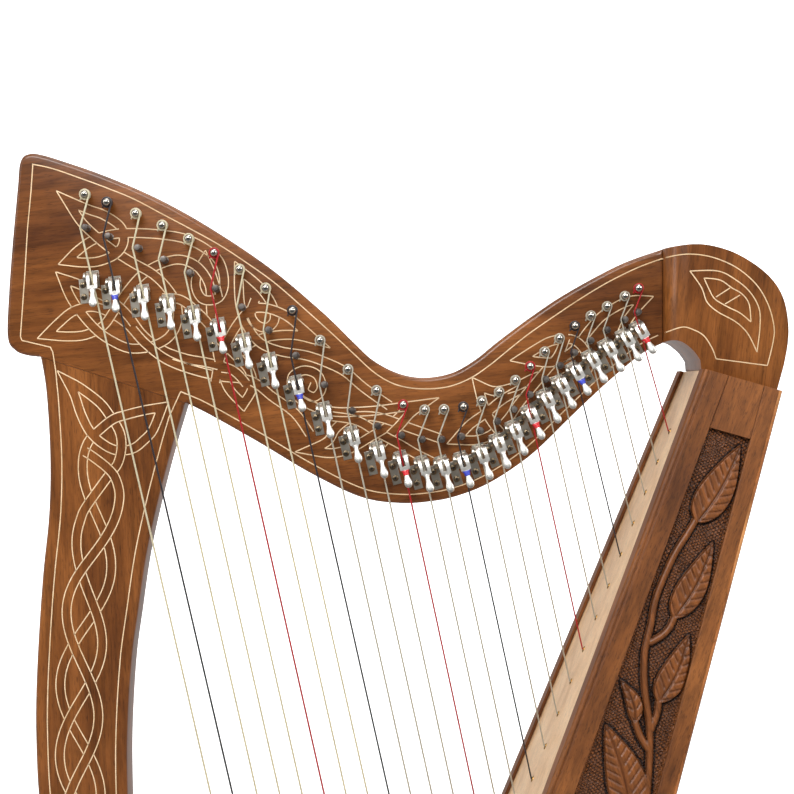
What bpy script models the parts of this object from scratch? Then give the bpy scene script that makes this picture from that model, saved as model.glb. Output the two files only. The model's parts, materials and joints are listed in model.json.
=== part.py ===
"""A 27-string lever harp of walnut: one object per piece of wood and per sharpening lever.

Metres, +Z up. The strings lie near the XZ plane, the pillar is at -X and the lever side
faces -Y. The harp stands on Z = 0 and is centred on the world origin seen from above.
"""

import math

import bmesh
import bpy
from mathutils import Matrix, Vector

MM = 0.001

# Strings, counted from the longest (0) to the shortest (26).
STRINGS = 27
STRING_R_BASS = 0.55
STRING_R_TREBLE = 0.33
STRING_STANDOFF = 9.5
HOLE_FIRST_STEP = 22.32
HOLE_STEP_GROWTH = 0.0854

# The curve board (neck) and the pillar share one thickness.
NECK_T = 29.0
NECK_ROUND = 3.0
GAP = 0.3
NECK_TOP = ((-254.9, 845.0), (-253.9, 857.0), (-251.2, 863.0), (-246.0, 865.0), (-240.0, 864.4),
            (-228.0, 861.0), (-197.0, 850.3), (-162.0, 835.3), (-127.0, 816.1), (-84.7, 787.9),
            (-48.8, 757.8), (-28.4, 738.0), (-14.2, 724.9), (2.7, 716.1), (20.0, 713.1),
            (38.8, 716.2), (55.3, 725.2), (71.0, 737.8), (94.3, 755.2), (118.6, 771.3),
            (153.6, 789.9), (181.3, 799.9))
NECK_LOW = ((181.3, 736.2), (167.0, 728.6), (144.0, 709.3), (120.5, 687.2), (97.3, 664.5),
            (79.7, 651.0), (62.3, 640.5), (44.8, 633.5), (27.3, 629.5), (4.0, 628.0),
            (-23.0, 632.3), (-57.0, 648.6), (-91.0, 668.8), (-125.0, 688.0), (-141.5, 696.2))
NECK_LEFT = ((-239.5, 727.4), (-248.5, 728.2), (-256.8, 731.6), (-262.0, 741.0), (-261.0, 772.0),
             (-258.6, 805.0))

PILLAR_OUT = ((-239.4, 726.7), (-235.7, 703.0), (-233.2, 660.0), (-233.9, 621.0), (-237.8, 582.0),
              (-240.6, 543.0), (-242.5, 504.0), (-242.7, 470.0), (-240.3, 425.0), (-232.0, 370.0),
              (-216.0, 300.0), (-196.0, 232.0), (-174.5, 168.0), (-153.0, 100.0), (-141.0, 42.3))
PILLAR_IN = ((-84.0, 42.3), (-96.0, 88.0), (-117.0, 145.0), (-140.0, 205.0), (-158.5, 268.0),
             (-171.0, 330.0), (-178.5, 395.0), (-180.8, 446.0), (-180.2, 485.0), (-177.6, 524.0),
             (-173.7, 553.0), (-168.0, 592.0), (-160.0, 629.0), (-150.4, 666.0), (-141.6, 695.6))

SHOULDER_T = 64.0
SHOULDER_ROUND = 3.0
SHOULDER_END_ROUND = 16.5
SHOULDER_TOP = ((181.6, 800.0), (199.5, 802.0), (212.8, 800.8), (228.1, 795.8), (243.4, 786.5),
                (253.8, 776.4), (260.0, 764.8), (262.8, 750.2), (262.7, 736.9), (260.0, 721.3))
SHOULDER_ARCH = ((204.2, 724.6), (199.6, 731.0), (192.5, 736.6), (186.5, 738.0), (181.6, 736.8))

# The soundbox. Its front plane holds the string holes; S runs down it, T goes into the box.
FRONT_AT = Vector((188.6, 676.4))
FRONT_DOWN = Vector((-0.3668, -0.9303)).normalized()
FRONT_IN = Vector((-FRONT_DOWN.y, FRONT_DOWN.x))
BACK_AT = Vector((254.0, 704.0))
BACK_DOWN = Vector((-73.8, -254.0)).normalized()
BACK_IN = Vector((BACK_DOWN.y, -BACK_DOWN.x))
TOP_AT = Vector((202.2, 718.6))
TOP_ACROSS = Vector((50.6, -14.4)).normalized()
BOX_BOTTOM = 42.3
HALF_WIDTH = 62.75
HALF_GROWTH = 0.12615
PROUD = 2.5
BOARD_T = 3.0
RAIL_SIDE = 14.0
RAIL_FRONT = 18.0
BACK_RAIL = 12.5
PANEL_RECESS = 3.0
PANEL_T = 4.0
GROOVE = 5.0
TOP_BLOCK_H = 36.0
BOTTOM_BLOCK_H = 30.0
RIB_T = 6.0
RIB_HALF = 12.0
RIB_SPAN = (-8.0, 644.0)
BRACE_AT = (215.0, 450.0)
BACK_HOLES = (150.0, 320.0, 490.0)

BASE_X = (-158.0, 112.0)
BASE_HALF_Y = 153.0
BASE_Z = (8.0, 42.0)
FOOT_R = 16.0

# Sharpening lever, in its own frame: x along the hinge, y away from the neck, z up the string.
# Hinge of the lever, as a distance down the string from the bridge pin, for every second string.
LEVER_DOWN = (34.0, 29.4, 26.6, 22.3, 18.1, 15.2, 15.3, 15.8, 13.6, 12.1, 11.2, 11.0, 10.7, 10.9)
DRUM_R = 2.9
DRUM_HALF = 3.4
BORE_R = 1.25
AXLE_R = 0.9
FORK_HALF = 1.7
# Lean of the levers from the vertical, in degrees, for every third string from the first.
LEVER_LEAN = (5.0, 8.5, 12.0, 13.0, 14.5, 17.5, 22.5, 27.0, 28.5, 29.0)
STRING_ABOVE_AXLE = 3.55
TIP_R = 2.95
TIP_DOWN = 17.0
CHEEK = (4.3, 5.9)
PLATE = (4.3, 10.3)
PLATE_T = 0.6
PLATE_Z = (-17.0, -0.5)

BRIDGE_R = 2.2
TUNING_R = 2.4
TUNING_OUT = 12.0
KEY_OUT = 14.0
KEY_HALF = 2.3

# Tuning pins and bridge pins follow the neck: centres from the bass to the treble.
TUNING_LINE = ((-207.9, 836.2), (-173.6, 823.4), (-138.0, 806.4), (-103.8, 785.9), (-68.3, 758.1),
               (-30.9, 718.6), (6.1, 694.8), (33.6, 691.7), (59.0, 697.3), (81.6, 711.3),
               (101.2, 730.4), (121.5, 747.7), (143.2, 760.9), (164.4, 773.0))
BRIDGE_LINE = ((-207.6, 814.0), (-172.4, 800.4), (-137.5, 783.6), (-102.5, 760.6), (-66.3, 728.0),
               (-28.2, 690.8), (5.0, 674.2), (32.3, 671.4), (58.3, 677.3), (80.8, 691.8),
               (102.2, 712.0), (121.6, 730.0), (143.5, 745.2), (164.3, 757.2))

WALNUT = (0.10, 0.042, 0.016)
SPRUCE = (0.62, 0.42, 0.22)
MAPLE = (0.50, 0.30, 0.14)
STEEL = (0.62, 0.62, 0.60)
RUBBER = (0.02, 0.02, 0.02)


def clear_scene():
    for obj in list(bpy.data.objects):
        bpy.data.objects.remove(obj, do_unlink=True)


def material(name, colour, metallic=0.0, roughness=0.35):
    made = bpy.data.materials.new(name)
    made.use_nodes = True
    shader = made.node_tree.nodes["Principled BSDF"]
    shader.inputs["Base Color"].default_value = (*colour, 1.0)
    shader.inputs["Metallic"].default_value = metallic
    shader.inputs["Roughness"].default_value = roughness
    return made


def add_object(name, mesh):
    obj = bpy.data.objects.new(name, mesh)
    bpy.context.scene.collection.objects.link(obj)
    return obj


def finish(obj, colour, metallic=0.0, roughness=0.35):
    obj.data.materials.clear()
    obj.data.materials.append(material(obj.name, colour, metallic, roughness))
    return obj


def from_bmesh(name, bm):
    """A new object from the bmesh, with its faces turned outwards."""
    bmesh.ops.remove_doubles(bm, verts=bm.verts, dist=1e-7)
    bmesh.ops.recalc_face_normals(bm, faces=bm.faces)
    mesh = bpy.data.meshes.new(name)
    bm.to_mesh(mesh)
    bm.free()
    return add_object(name, mesh)


def skin(bm, rings, closed_ring=False):
    """Joins rings of the same length with quads, and caps the two ends."""
    rows = [[bm.verts.new(point) for point in ring] for ring in rings]
    count = len(rows[0])
    pairs = list(zip(rows, rows[1:]))
    if closed_ring:
        pairs.append((rows[-1], rows[0]))
    for low, high in pairs:
        for i in range(count):
            j = (i + 1) % count
            bm.faces.new((low[i], low[j], high[j], high[i]))
    if not closed_ring:
        bm.faces.new(rows[0])
        bm.faces.new(rows[-1])


def modifier(obj, kind, **settings):
    made = obj.modifiers.new(kind.lower(), kind)
    for key, value in settings.items():
        setattr(made, key, value)
    return made


def bake(obj):
    """Applies the modifiers of an object to its mesh."""
    bpy.context.view_layer.update()
    graph = bpy.context.evaluated_depsgraph_get()
    mesh = bpy.data.meshes.new_from_object(obj.evaluated_get(graph))
    obj.modifiers.clear()
    obj.data = mesh
    return obj


def boolean(obj, other, operation, keep=False):
    """Cuts or joins another object into this one with the exact solver, then drops the other."""
    modifier(obj, "BOOLEAN", operation=operation, solver="EXACT", use_self=True, object=other)
    bake(obj)
    if not keep:
        bpy.data.objects.remove(other, do_unlink=True)
    return obj


def bevel(obj, width, segments, angle=50.0):
    """Rounds only the sharp edges."""
    modifier(obj, "BEVEL", width=width * MM, segments=segments, limit_method="ANGLE",
             angle_limit=math.radians(angle))
    return bake(obj)


def smooth_round(obj, angle=40.0):
    """Shades faces smooth where they meet at less than the angle."""
    for face in obj.data.polygons:
        face.use_smooth = True
    limit = math.cos(math.radians(angle))
    bm = bmesh.new()
    bm.from_mesh(obj.data)
    for edge in bm.edges:
        if len(edge.link_faces) == 2:
            first, second = edge.link_faces
            edge.smooth = first.normal.dot(second.normal) > limit
    bm.to_mesh(obj.data)
    bm.free()
    return obj


def curve_through(points, per_span):
    """A Catmull-Rom curve through the points, with per_span steps between two of them."""
    found = []
    last = len(points) - 1
    for i in range(last):
        p0, p1, p2, p3 = (Vector(points[max(0, min(last, i + k))]) for k in (-1, 0, 1, 2))
        for step in range(per_span):
            t = step / per_span
            part = (2 * p1 + (p2 - p0) * t + (2 * p0 - 5 * p1 + 4 * p2 - p3) * t * t
                    + (3 * p1 - p0 - 3 * p2 + p3) * t * t * t)
            found.append(part / 2)
    found.append(Vector(points[last]))
    return found


def plate(name, outline, y_low, y_high):
    """A flat board: an outline in X and Z, extruded along Y."""
    bm = bmesh.new()
    rings = [[(x * MM, y * MM, z * MM) for x, z in outline] for y in (y_low, y_high)]
    skin(bm, rings)
    return from_bmesh(name, bm)


def rod(name, start, end, radius, sides=12, end_radius=None):
    """A round rod or cone between two points in millimetres."""
    start, end = Vector(start), Vector(end)
    along = (end - start).normalized()
    side = along.orthogonal().normalized()
    up = along.cross(side)
    bm = bmesh.new()
    rings = []
    for centre, r in ((start, radius), (end, radius if end_radius is None else end_radius)):
        turns = [2 * math.pi * k / sides for k in range(sides)]
        rings.append([(centre + r * (math.cos(a) * side + math.sin(a) * up)) * MM for a in turns])
    skin(bm, rings)
    return from_bmesh(name, bm)


def box(name, low, high):
    bm = bmesh.new()
    corners = ((low[0], low[1]), (high[0], low[1]), (high[0], high[1]), (low[0], high[1]))
    skin(bm, [[(x * MM, y * MM, z * MM) for x, y in corners] for z in (low[2], high[2])])
    return from_bmesh(name, bm)


def joined(name, objects):
    """Puts the meshes of several objects into one, still overlapping."""
    bm = bmesh.new()
    for obj in objects:
        bm.from_mesh(obj.data)
        bpy.data.objects.remove(obj, do_unlink=True)
    mesh = bpy.data.meshes.new(name)
    bm.to_mesh(mesh)
    bm.free()
    return add_object(name, mesh)


# Layout of the strings.


def hole_at(string):
    """Centre of the string's hole on the face of the soundboard, in X and Z."""
    steps = STRINGS - 1 - string
    return FRONT_AT + FRONT_DOWN * (HOLE_FIRST_STEP * steps + HOLE_STEP_GROWTH * steps * steps)


def on_line(line, string):
    """The pin of this string on a row of pins, of which every second one is given."""
    return curve_through(line, 2)[string]


def string_radius(string):
    return STRING_R_BASS + (STRING_R_TREBLE - STRING_R_BASS) * string / (STRINGS - 1)


def string_path(string):
    """The string's centre line: tuning pin, bridge pin, soundboard hole, rib inside the box."""
    face = -NECK_T / 2
    tuning = on_line(TUNING_LINE, string)
    bridge = on_line(BRIDGE_LINE, string)
    hole = hole_at(string) - FRONT_IN * 0.8
    inside = hole_at(string) + FRONT_IN * (BOARD_T + 3.5)
    left = bridge.x - BRIDGE_R - string_radius(string) - 0.25
    right = tuning.x + TUNING_R + string_radius(string) + 0.25
    top = Vector((right, face - STRING_STANDOFF, tuning.y))
    bend = Vector((left, face - STRING_STANDOFF, bridge.y))
    return (top, bend, Vector((hole.x, 0.0, hole.y)), Vector((inside.x, 0.0, inside.y)))


def pivot_frame(string):
    """Hinge of the sharpening lever: a matrix in millimetres, x along the axle, z up the string."""
    _, bend, hole, _ = string_path(string)
    length = (bend - hole).length
    down = curve_through([(2 * k, d) for k, d in enumerate(LEVER_DOWN)], 2)[string].y
    at = bend + (hole - bend) * (down / length)
    lean = math.radians(curve_through([(3 * k, a) for k, a in enumerate(LEVER_LEAN)], 3)[string].y)
    up = Vector((-math.sin(lean), 0.0, math.cos(lean)))
    out = Vector((0.0, -1.0, 0.0))
    axle = out.cross(up)
    rotation = Matrix((axle, out, up)).transposed().to_4x4()
    return Matrix.Translation(at - out * STRING_ABOVE_AXLE) @ rotation


def placed(obj, frame):
    """Moves the points of a mesh from a frame in millimetres to the world in metres."""
    scaled = frame.copy()
    scaled.translation = frame.translation * MM
    obj.data.transform(scaled)
    return obj


# Soundbox: a corner is given by a front or back offset, a side and a distance in from it.


def half_width(point):
    """Half the outside width of the box at a point in X and Z."""
    return HALF_WIDTH + HALF_GROWTH * (point - FRONT_AT).dot(FRONT_DOWN)


def cross(at, along, other_at, other_along):
    """Where two lines in X and Z meet."""
    normal = Vector((-other_along.y, other_along.x))
    return at + along * ((other_at - at).dot(normal) / along.dot(normal))


def box_corner(face, offset, side, inset, cut):
    """One corner: face 'front' or 'back', offset into the box, side -1 or 1, and the end cut."""
    if face == "front":
        at, along = FRONT_AT + FRONT_IN * offset, FRONT_DOWN
    else:
        at, along = BACK_AT + BACK_IN * offset, BACK_DOWN
    point = cross(at, along, *cut)
    return (point.x * MM, side * (half_width(point) - inset) * MM, point.y * MM)


def top_cut(down=0.0):
    return (TOP_AT + Vector((TOP_ACROSS.y, -TOP_ACROSS.x)) * down, TOP_ACROSS)


def bottom_cut(up=0.0):
    return (Vector((0.0, BOX_BOTTOM + up)), Vector((1.0, 0.0)))


def box_member(name, profile, cuts):
    """A member that runs down the box. Its profile lists (face, offset, side, inset)."""
    bm = bmesh.new()
    skin(bm, [[box_corner(*corner, cut) for corner in profile] for cut in cuts])
    return from_bmesh(name, bm)


def rounded_corner(radius, steps=3):
    """(offset, inset) pairs that round a member's outer corner."""
    turns = [math.pi / 2 * k / steps for k in range(steps + 1)]
    return [(radius * (1 - math.cos(a)), radius * (1 - math.sin(a))) for a in turns]


def front_rail(side, name):
    """Front corner rail: lip over the soundboard's edge, and a groove for the side panel."""
    groove = (PANEL_RECESS, PANEL_RECESS + PANEL_T + 2 * GAP)
    outline = [(off - PROUD, inset) for off, inset in rounded_corner(5.0)]
    outline += [(RAIL_SIDE, 0.0), (RAIL_SIDE, groove[0]), (RAIL_SIDE - GROOVE, groove[0]),
                (RAIL_SIDE - GROOVE, groove[1]), (RAIL_SIDE, groove[1]), (RAIL_SIDE, RAIL_FRONT),
                (BOARD_T + GAP, RAIL_FRONT), (BOARD_T + GAP, RAIL_FRONT - GROOVE),
                (-GAP, RAIL_FRONT - GROOVE), (-GAP, RAIL_FRONT), (-PROUD, RAIL_FRONT)]
    profile = [("front", off, side, inset) for off, inset in outline]
    rail = box_member(name, profile, (top_cut(), bottom_cut()))
    return finish(smooth_round(rail), WALNUT)


def back_rail(side, name):
    """Back corner rail, rounded outside, with grooves for the side panel and the back."""
    groove = (PANEL_RECESS, PANEL_RECESS + PANEL_T + 2 * GAP)
    outline = rounded_corner(6.0)
    outline += [(BACK_RAIL, 0.0), (BACK_RAIL, groove[0]), (BACK_RAIL - GROOVE, groove[0]),
                (BACK_RAIL - GROOVE, groove[1]), (BACK_RAIL, groove[1]), (BACK_RAIL, 16.0),
                (5.3, 16.0), (5.3, 10.7), (1.7, 10.7), (1.7, 16.0), (0.0, 16.0)]
    profile = [("back", off, side, inset) for off, inset in outline]
    rail = box_member(name, profile, (top_cut(), bottom_cut()))
    return finish(smooth_round(rail), WALNUT)


def side_panel(side, name):
    """Side panel, held in the grooves of both rails and set back from their faces."""
    near, far = PANEL_RECESS + GAP, PANEL_RECESS + GAP + PANEL_T
    front, back = RAIL_SIDE - GROOVE + GAP, BACK_RAIL - GROOVE + GAP
    profile = (("front", front, side, near), ("back", back, side, near),
               ("back", back, side, far), ("front", front, side, far))
    cuts = (top_cut(TOP_BLOCK_H + GAP), bottom_cut(BOTTOM_BLOCK_H + GAP))
    return finish(box_member(name, profile, cuts), WALNUT)


def end_block(name, cuts):
    """Solid end of the box, flush with the rails at the sides."""
    half = (("front", BOARD_T + GAP, RAIL_FRONT + GAP), ("front", RAIL_SIDE + GAP, RAIL_FRONT + GAP),
            ("front", RAIL_SIDE + GAP, 0.0), ("back", BACK_RAIL + GAP, 0.0),
            ("back", BACK_RAIL + GAP, 16.0 + GAP), ("back", 5.0 + GAP, 16.0 + GAP))
    profile = [(face, off, -1, inset) for face, off, inset in half]
    profile += [(face, off, 1, inset) for face, off, inset in reversed(half)]
    return box_member(name, profile, cuts)


def flat_board(name, face, off, inset, cuts):
    """A thin board between the two sides."""
    profile = ((face, off[0], -1, inset), (face, off[1], -1, inset),
               (face, off[1], 1, inset), (face, off[0], 1, inset))
    return box_member(name, profile, cuts)


def soundboard():
    """The light front board with its 27 string holes."""
    board = flat_board("soundboard", "front", (0.0, BOARD_T), RAIL_FRONT - GROOVE + GAP,
                       (top_cut(), bottom_cut()))
    cutters = []
    for string in range(STRINGS):
        at = hole_at(string)
        ends = [at - FRONT_IN * 4, at + FRONT_IN * (BOARD_T + 4)]
        start, end = (Vector((end.x, 0.0, end.y)) for end in ends)
        cutters.append(rod("hole", start, end, 1.6, 8))
    boolean(board, joined("holes", cutters), "DIFFERENCE")
    return finish(board, SPRUCE, roughness=0.4)


def back_panel():
    """The back, with three oval openings for stringing the harp."""
    board = flat_board("back_panel", "back", (2.0, 5.0), 11.0, (top_cut(), bottom_cut()))
    across = Vector((0.0, 1.0, 0.0))
    along = Vector((BACK_DOWN.x, 0.0, BACK_DOWN.y))
    into = Vector((BACK_IN.x, 0.0, BACK_IN.y))
    cutters = []
    for down in BACK_HOLES:
        at = BACK_AT + BACK_DOWN * down
        centre = Vector((at.x, 0.0, at.y))
        wide = 0.42 * half_width(at)
        bm = bmesh.new()
        turns = [2 * math.pi * k / 20 for k in range(20)]
        oval = [across * wide * math.cos(a) + along * 34 * math.sin(a) for a in turns]
        skin(bm, [[(centre + into * depth + p) * MM for p in oval] for depth in (-4, 11)])
        cutters.append(from_bmesh("opening", bm))
    boolean(board, joined("openings", cutters), "DIFFERENCE")
    return finish(board, WALNUT)


def brace(name, down):
    """A cross brace under the rib, between the front rails."""
    upper = (FRONT_AT + FRONT_DOWN * down, FRONT_IN)
    lower = (FRONT_AT + FRONT_DOWN * (down + 10), FRONT_IN)
    off = (BOARD_T + RIB_T + 2 * GAP, BOARD_T + RIB_T + 2 * GAP + 16.0)
    made = flat_board(name, "front", off, RAIL_FRONT + GAP, (upper, lower))
    return finish(made, MAPLE, roughness=0.6)


def string_band():
    """The rib under the soundboard and the 27 strings that are knotted through it."""
    bm = bmesh.new()
    rings = []
    low, high = BOARD_T + GAP, BOARD_T + GAP + RIB_T
    for down in RIB_SPAN:
        at = FRONT_AT + FRONT_DOWN * down
        corners = ((low, -RIB_HALF), (low, RIB_HALF), (high, RIB_HALF - 3), (high, -RIB_HALF + 3))
        spots = [(at + FRONT_IN * off, y) for off, y in corners]
        rings.append([(spot.x * MM, y * MM, spot.y * MM) for spot, y in spots])
    skin(bm, rings)
    band = from_bmesh("string_band", bm)
    strings = [string_tube(string) for string in range(STRINGS)]
    boolean(band, joined("strings", strings), "UNION")
    return finish(band, MAPLE)


def string_tube(string):
    """One string as a thin tube along its path."""
    path = string_path(string)
    radius = string_radius(string)
    side = Vector((0.0, 1.0, 0.0))
    rings = []
    for i, point in enumerate(path):
        before = (point - path[max(i - 1, 0)]).normalized()
        after = (path[min(i + 1, 3)] - point).normalized()
        along = (before + after).normalized()
        first = along.cross(side).normalized()
        second = along.cross(first)
        turns = [math.pi / 4 + math.pi / 2 * k for k in range(4)]
        rings.append([(point + radius * (math.cos(a) * first + math.sin(a) * second)) * MM
                      for a in turns])
    bm = bmesh.new()
    skin(bm, rings)
    return from_bmesh("string", bm)


# Neck, pillar, shoulder and base.


def joint_dowels():
    """(name, start, end, radius) of the dowels and bolts that cross the wooden joints."""
    scarf_left, scarf_right = Vector((-236.9, 726.2)), Vector((-141.5, 696.0))
    across = (scarf_right - scarf_left).normalized()
    into = Vector((-across.y, across.x))
    found = []
    for label, share in (("a", 0.34), ("b", 0.68)):
        at = scarf_left + (scarf_right - scarf_left) * share
        start, end = at - into * 24, at + into * 24
        found.append(("dowel_pillar_" + label, (start.x, 0, start.y), (end.x, 0, end.y), 5.0))
    for label, z in (("a", 758.0), ("b", 781.0)):
        found.append(("dowel_shoulder_" + label, (156.0, 0, z), (208.0, 0, z), 5.0))
    return found


def drilled(obj, dowels):
    """Cuts the dowel holes, a little wider and deeper than the dowels, into a piece."""
    cutters = []
    for _, start, end, radius in dowels:
        start, end = Vector(start), Vector(end)
        along = (end - start).normalized() * 0.5
        cutters.append(rod("bore", start - along, end + along, radius + GAP, 12))
    return boolean(obj, joined("bores", cutters), "DIFFERENCE")


def bolt(name, start, end, head_length):
    """A bolt with its head at the start."""
    start, end = Vector(start), Vector(end)
    along = (end - start).normalized()
    shank = rod(name, start + along * (head_length - 1), end, 4.0, 12)
    head = rod("head", start, start + along * head_length, 8.0, 12)
    boolean(shank, head, "UNION")
    return finish(shank, STEEL, 1.0, 0.3)


def bolt_bore(obj, start, end, head_length):
    """Clearance for a bolt: shank all the way, head at the start."""
    start, end = Vector(start), Vector(end)
    along = (end - start).normalized()
    shank = rod("bore", start, end + along * 0.5, 4.0 + GAP, 12)
    boolean(obj, shank, "DIFFERENCE")
    if head_length:
        head = rod("bore", start - along * 10, start + along * (head_length + GAP), 8.0 + GAP, 12)
        boolean(obj, head, "DIFFERENCE")
    return obj


def bracket_parts(string):
    """Lever bracket on the neck: base plate, upright cheek, axle and the axle's cap."""
    frame = pivot_frame(string)
    face = frame.translation.y + NECK_T / 2
    low, high = face - 0.5, 2.2
    cap = -DRUM_HALF - 0.3
    parts = [box("plate", (PLATE[0], low, PLATE_Z[0]), (PLATE[1], face + PLATE_T, PLATE_Z[1])),
             box("cheek", (CHEEK[0], low, -3.2), (CHEEK[1], high, 3.6)),
             rod("axle", (CHEEK[1] - 0.4, 0, 0), (cap - 0.5, 0, 0), AXLE_R, 6),
             rod("cap", (cap, 0, 0), (cap - 0.8, 0, 0), 1.8, 8)]
    return [placed(part, frame) for part in parts]


def pin_parts(string):
    """Tuning pin through the neck, with its square key end behind, and the bridge pin."""
    face = -NECK_T / 2
    tuning = on_line(TUNING_LINE, string)
    bridge = on_line(BRIDGE_LINE, string)
    key = box("key", (tuning.x - KEY_HALF, -face - 1, tuning.y - KEY_HALF),
              (tuning.x + KEY_HALF, -face + KEY_OUT, tuning.y + KEY_HALF))
    return [rod("pin", (tuning.x, face + 1, tuning.y), (tuning.x, face - TUNING_OUT, tuning.y),
                TUNING_R, 8),
            key,
            rod("bridge", (bridge.x, face + 1, bridge.y),
                (bridge.x, face - STRING_STANDOFF - 1.6, bridge.y), BRIDGE_R, 8)]


def neck(dowels):
    """The curve board with the pins and lever brackets that are fixed in it."""
    outline = curve_through(NECK_TOP, 2) + curve_through(NECK_LOW, 2)
    outline += curve_through(NECK_LEFT, 2)
    board = plate("neck", outline, -NECK_T / 2, NECK_T / 2)
    bevel(board, NECK_ROUND, 2)
    drilled(board, dowels)
    parts = []
    for string in range(STRINGS):
        parts += bracket_parts(string) + pin_parts(string)
    boolean(board, joined("fittings", parts), "UNION")
    return finish(smooth_round(board), WALNUT)


def pillar(dowels, bolt_line):
    """The curved pillar between the base and the neck."""
    outline = curve_through(PILLAR_OUT, 1) + curve_through(PILLAR_IN, 1)
    board = plate("pillar", outline, -NECK_T / 2, NECK_T / 2)
    bevel(board, NECK_ROUND, 2)
    drilled(board, dowels)
    bolt_bore(board, *bolt_line, 0)
    return finish(smooth_round(board), WALNUT)


def shoulder_plan():
    """The shoulder seen from above: its end towards the neck has two large rounded corners."""
    x, y, round_by = SHOULDER_TOP[0][0], SHOULDER_T / 2, SHOULDER_END_ROUND
    turns = [math.pi / 2 * k / 6 for k in range(7)]
    corner = [(x + round_by * (1 - math.sin(a)), y - round_by * (1 - math.cos(a))) for a in turns]
    plan = [(x + 100, -y - 5), (x + 100, y + 5), (x + round_by, y + 5)] + corner
    plan += [(px, -py) for px, py in reversed(plan[2:])]
    bm = bmesh.new()
    skin(bm, [[(px * MM, py * MM, z * MM) for px, py in plan] for z in (600.0, 900.0)])
    return from_bmesh("plan", bm)


def shoulder(dowels, bolt_line):
    """The thick block that carries the treble end of the neck on top of the soundbox."""
    seat = [TOP_AT + TOP_ACROSS * far for far in (55.0, 2.6)]
    lift = Vector((-TOP_ACROSS.y, TOP_ACROSS.x)) * GAP
    outline = curve_through(SHOULDER_TOP, 1) + [seat[0] + lift, seat[1] + lift]
    outline += curve_through(SHOULDER_ARCH, 1)
    block = plate("shoulder_block", outline, -SHOULDER_T / 2, SHOULDER_T / 2)
    boolean(block, shoulder_plan(), "INTERSECT")
    bevel(block, SHOULDER_ROUND, 2, 60.0)
    drilled(block, dowels)
    bolt_bore(block, *bolt_line, 0)
    return finish(smooth_round(block), WALNUT)


def base(bolt_lines):
    """The base board under the pillar and the soundbox."""
    board = box("base", (BASE_X[0], -BASE_HALF_Y, BASE_Z[0]), (BASE_X[1], BASE_HALF_Y, BASE_Z[1]))
    bevel(board, 5.0, 2)
    for start, end in bolt_lines:
        bolt_bore(board, start, end, 6.0)
    return finish(smooth_round(board), WALNUT)


def feet():
    for i, x in enumerate((BASE_X[0] + 26, BASE_X[1] - 26)):
        for j, y in enumerate((-BASE_HALF_Y + 26, BASE_HALF_Y - 26)):
            name = "foot_" + ("front", "back")[i] + "_" + ("left", "right")[j]
            foot = rod(name, (x, y, 0.0), (x, y, BASE_Z[0] - GAP), FOOT_R - 2, 16, FOOT_R)
            finish(smooth_round(foot), RUBBER, roughness=0.8)


# The sharpening levers.


def lever_shape():
    """The moving part of a lever in its own frame, in millimetres scaled to metres."""
    side = ((-1.6, 2.3), (1.5, 2.5), (5.2, 1.3), (6.5, -0.6), (6.5, -8.4), (4.7, -8.4),
            (4.4, -6.0), (1.6, -2.4), (-1.6, -2.3))
    bm = bmesh.new()
    rings = [[(x * MM, y * MM, z * MM) for y, z in side] for x in (-DRUM_HALF, DRUM_HALF)]
    skin(bm, rings)
    arms = from_bmesh("arms", bm)
    drum = rod("drum", (-DRUM_HALF - 0.1, 0, 0), (DRUM_HALF + 0.1, 0, 0), DRUM_R, 10)
    slot = box("slot", (-FORK_HALF, 1.0, -6.3), (FORK_HALF, 9.0, 6.0))
    boolean(arms, slot, "DIFFERENCE")
    boolean(arms, drum, "UNION")
    boolean(arms, lever_handle(), "UNION")
    boolean(arms, rod("bore", (-9, 0, 0), (9, 0, 0), BORE_R, 6), "DIFFERENCE")
    return arms


def lever_handle():
    """Waisted handle with a drop-shaped tip."""
    stations = ((-7.2, 3.3, 0.85), (-10.4, 1.35, 0.9), (-13.4, 1.5, 1.1), (-15.6, 2.6, 1.5),
                (-TIP_DOWN - 0.4, TIP_R, 1.6), (-19.9, 1.0, 0.6))
    bm = bmesh.new()
    rings = []
    for z, wide, deep in stations:
        turns = [math.pi / 3 * k for k in range(6)]
        rings.append([(wide * math.cos(a) * MM, (5.55 + deep * math.sin(a)) * MM, z * MM)
                      for a in turns])
    skin(bm, rings)
    return from_bmesh("handle", bm)


def levers():
    shape = lever_shape()
    for string in range(STRINGS):
        frame = pivot_frame(string)
        lever = add_object(f"lever_{string + 1:02d}", shape.data.copy())
        rotation = frame.to_3x3().to_4x4()
        lever.data.transform(rotation)
        lever.location = frame.translation * MM
        finish(smooth_round(lever, 35.0), STEEL, 1.0, 0.15)
    bpy.data.objects.remove(shape, do_unlink=True)


def bolt_lines():
    """Bolts: base to pillar, top block to shoulder, and two from the base into the bottom block."""
    down = Vector((TOP_ACROSS.y, -TOP_ACROSS.x))
    at = TOP_AT + TOP_ACROSS * 29.0
    low, high = at + down * (TOP_BLOCK_H + 6), at - down * 26
    return {"pillar_bolt": ((-112, 0, 12), (-117, 0, 92)),
            "shoulder_bolt": ((low.x, 0, low.y), (high.x, 0, high.y)),
            "box_bolt_left": ((8, -70, 12), (8, -70, 64)),
            "box_bolt_right": ((8, 70, 12), (8, 70, 64))}


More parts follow.
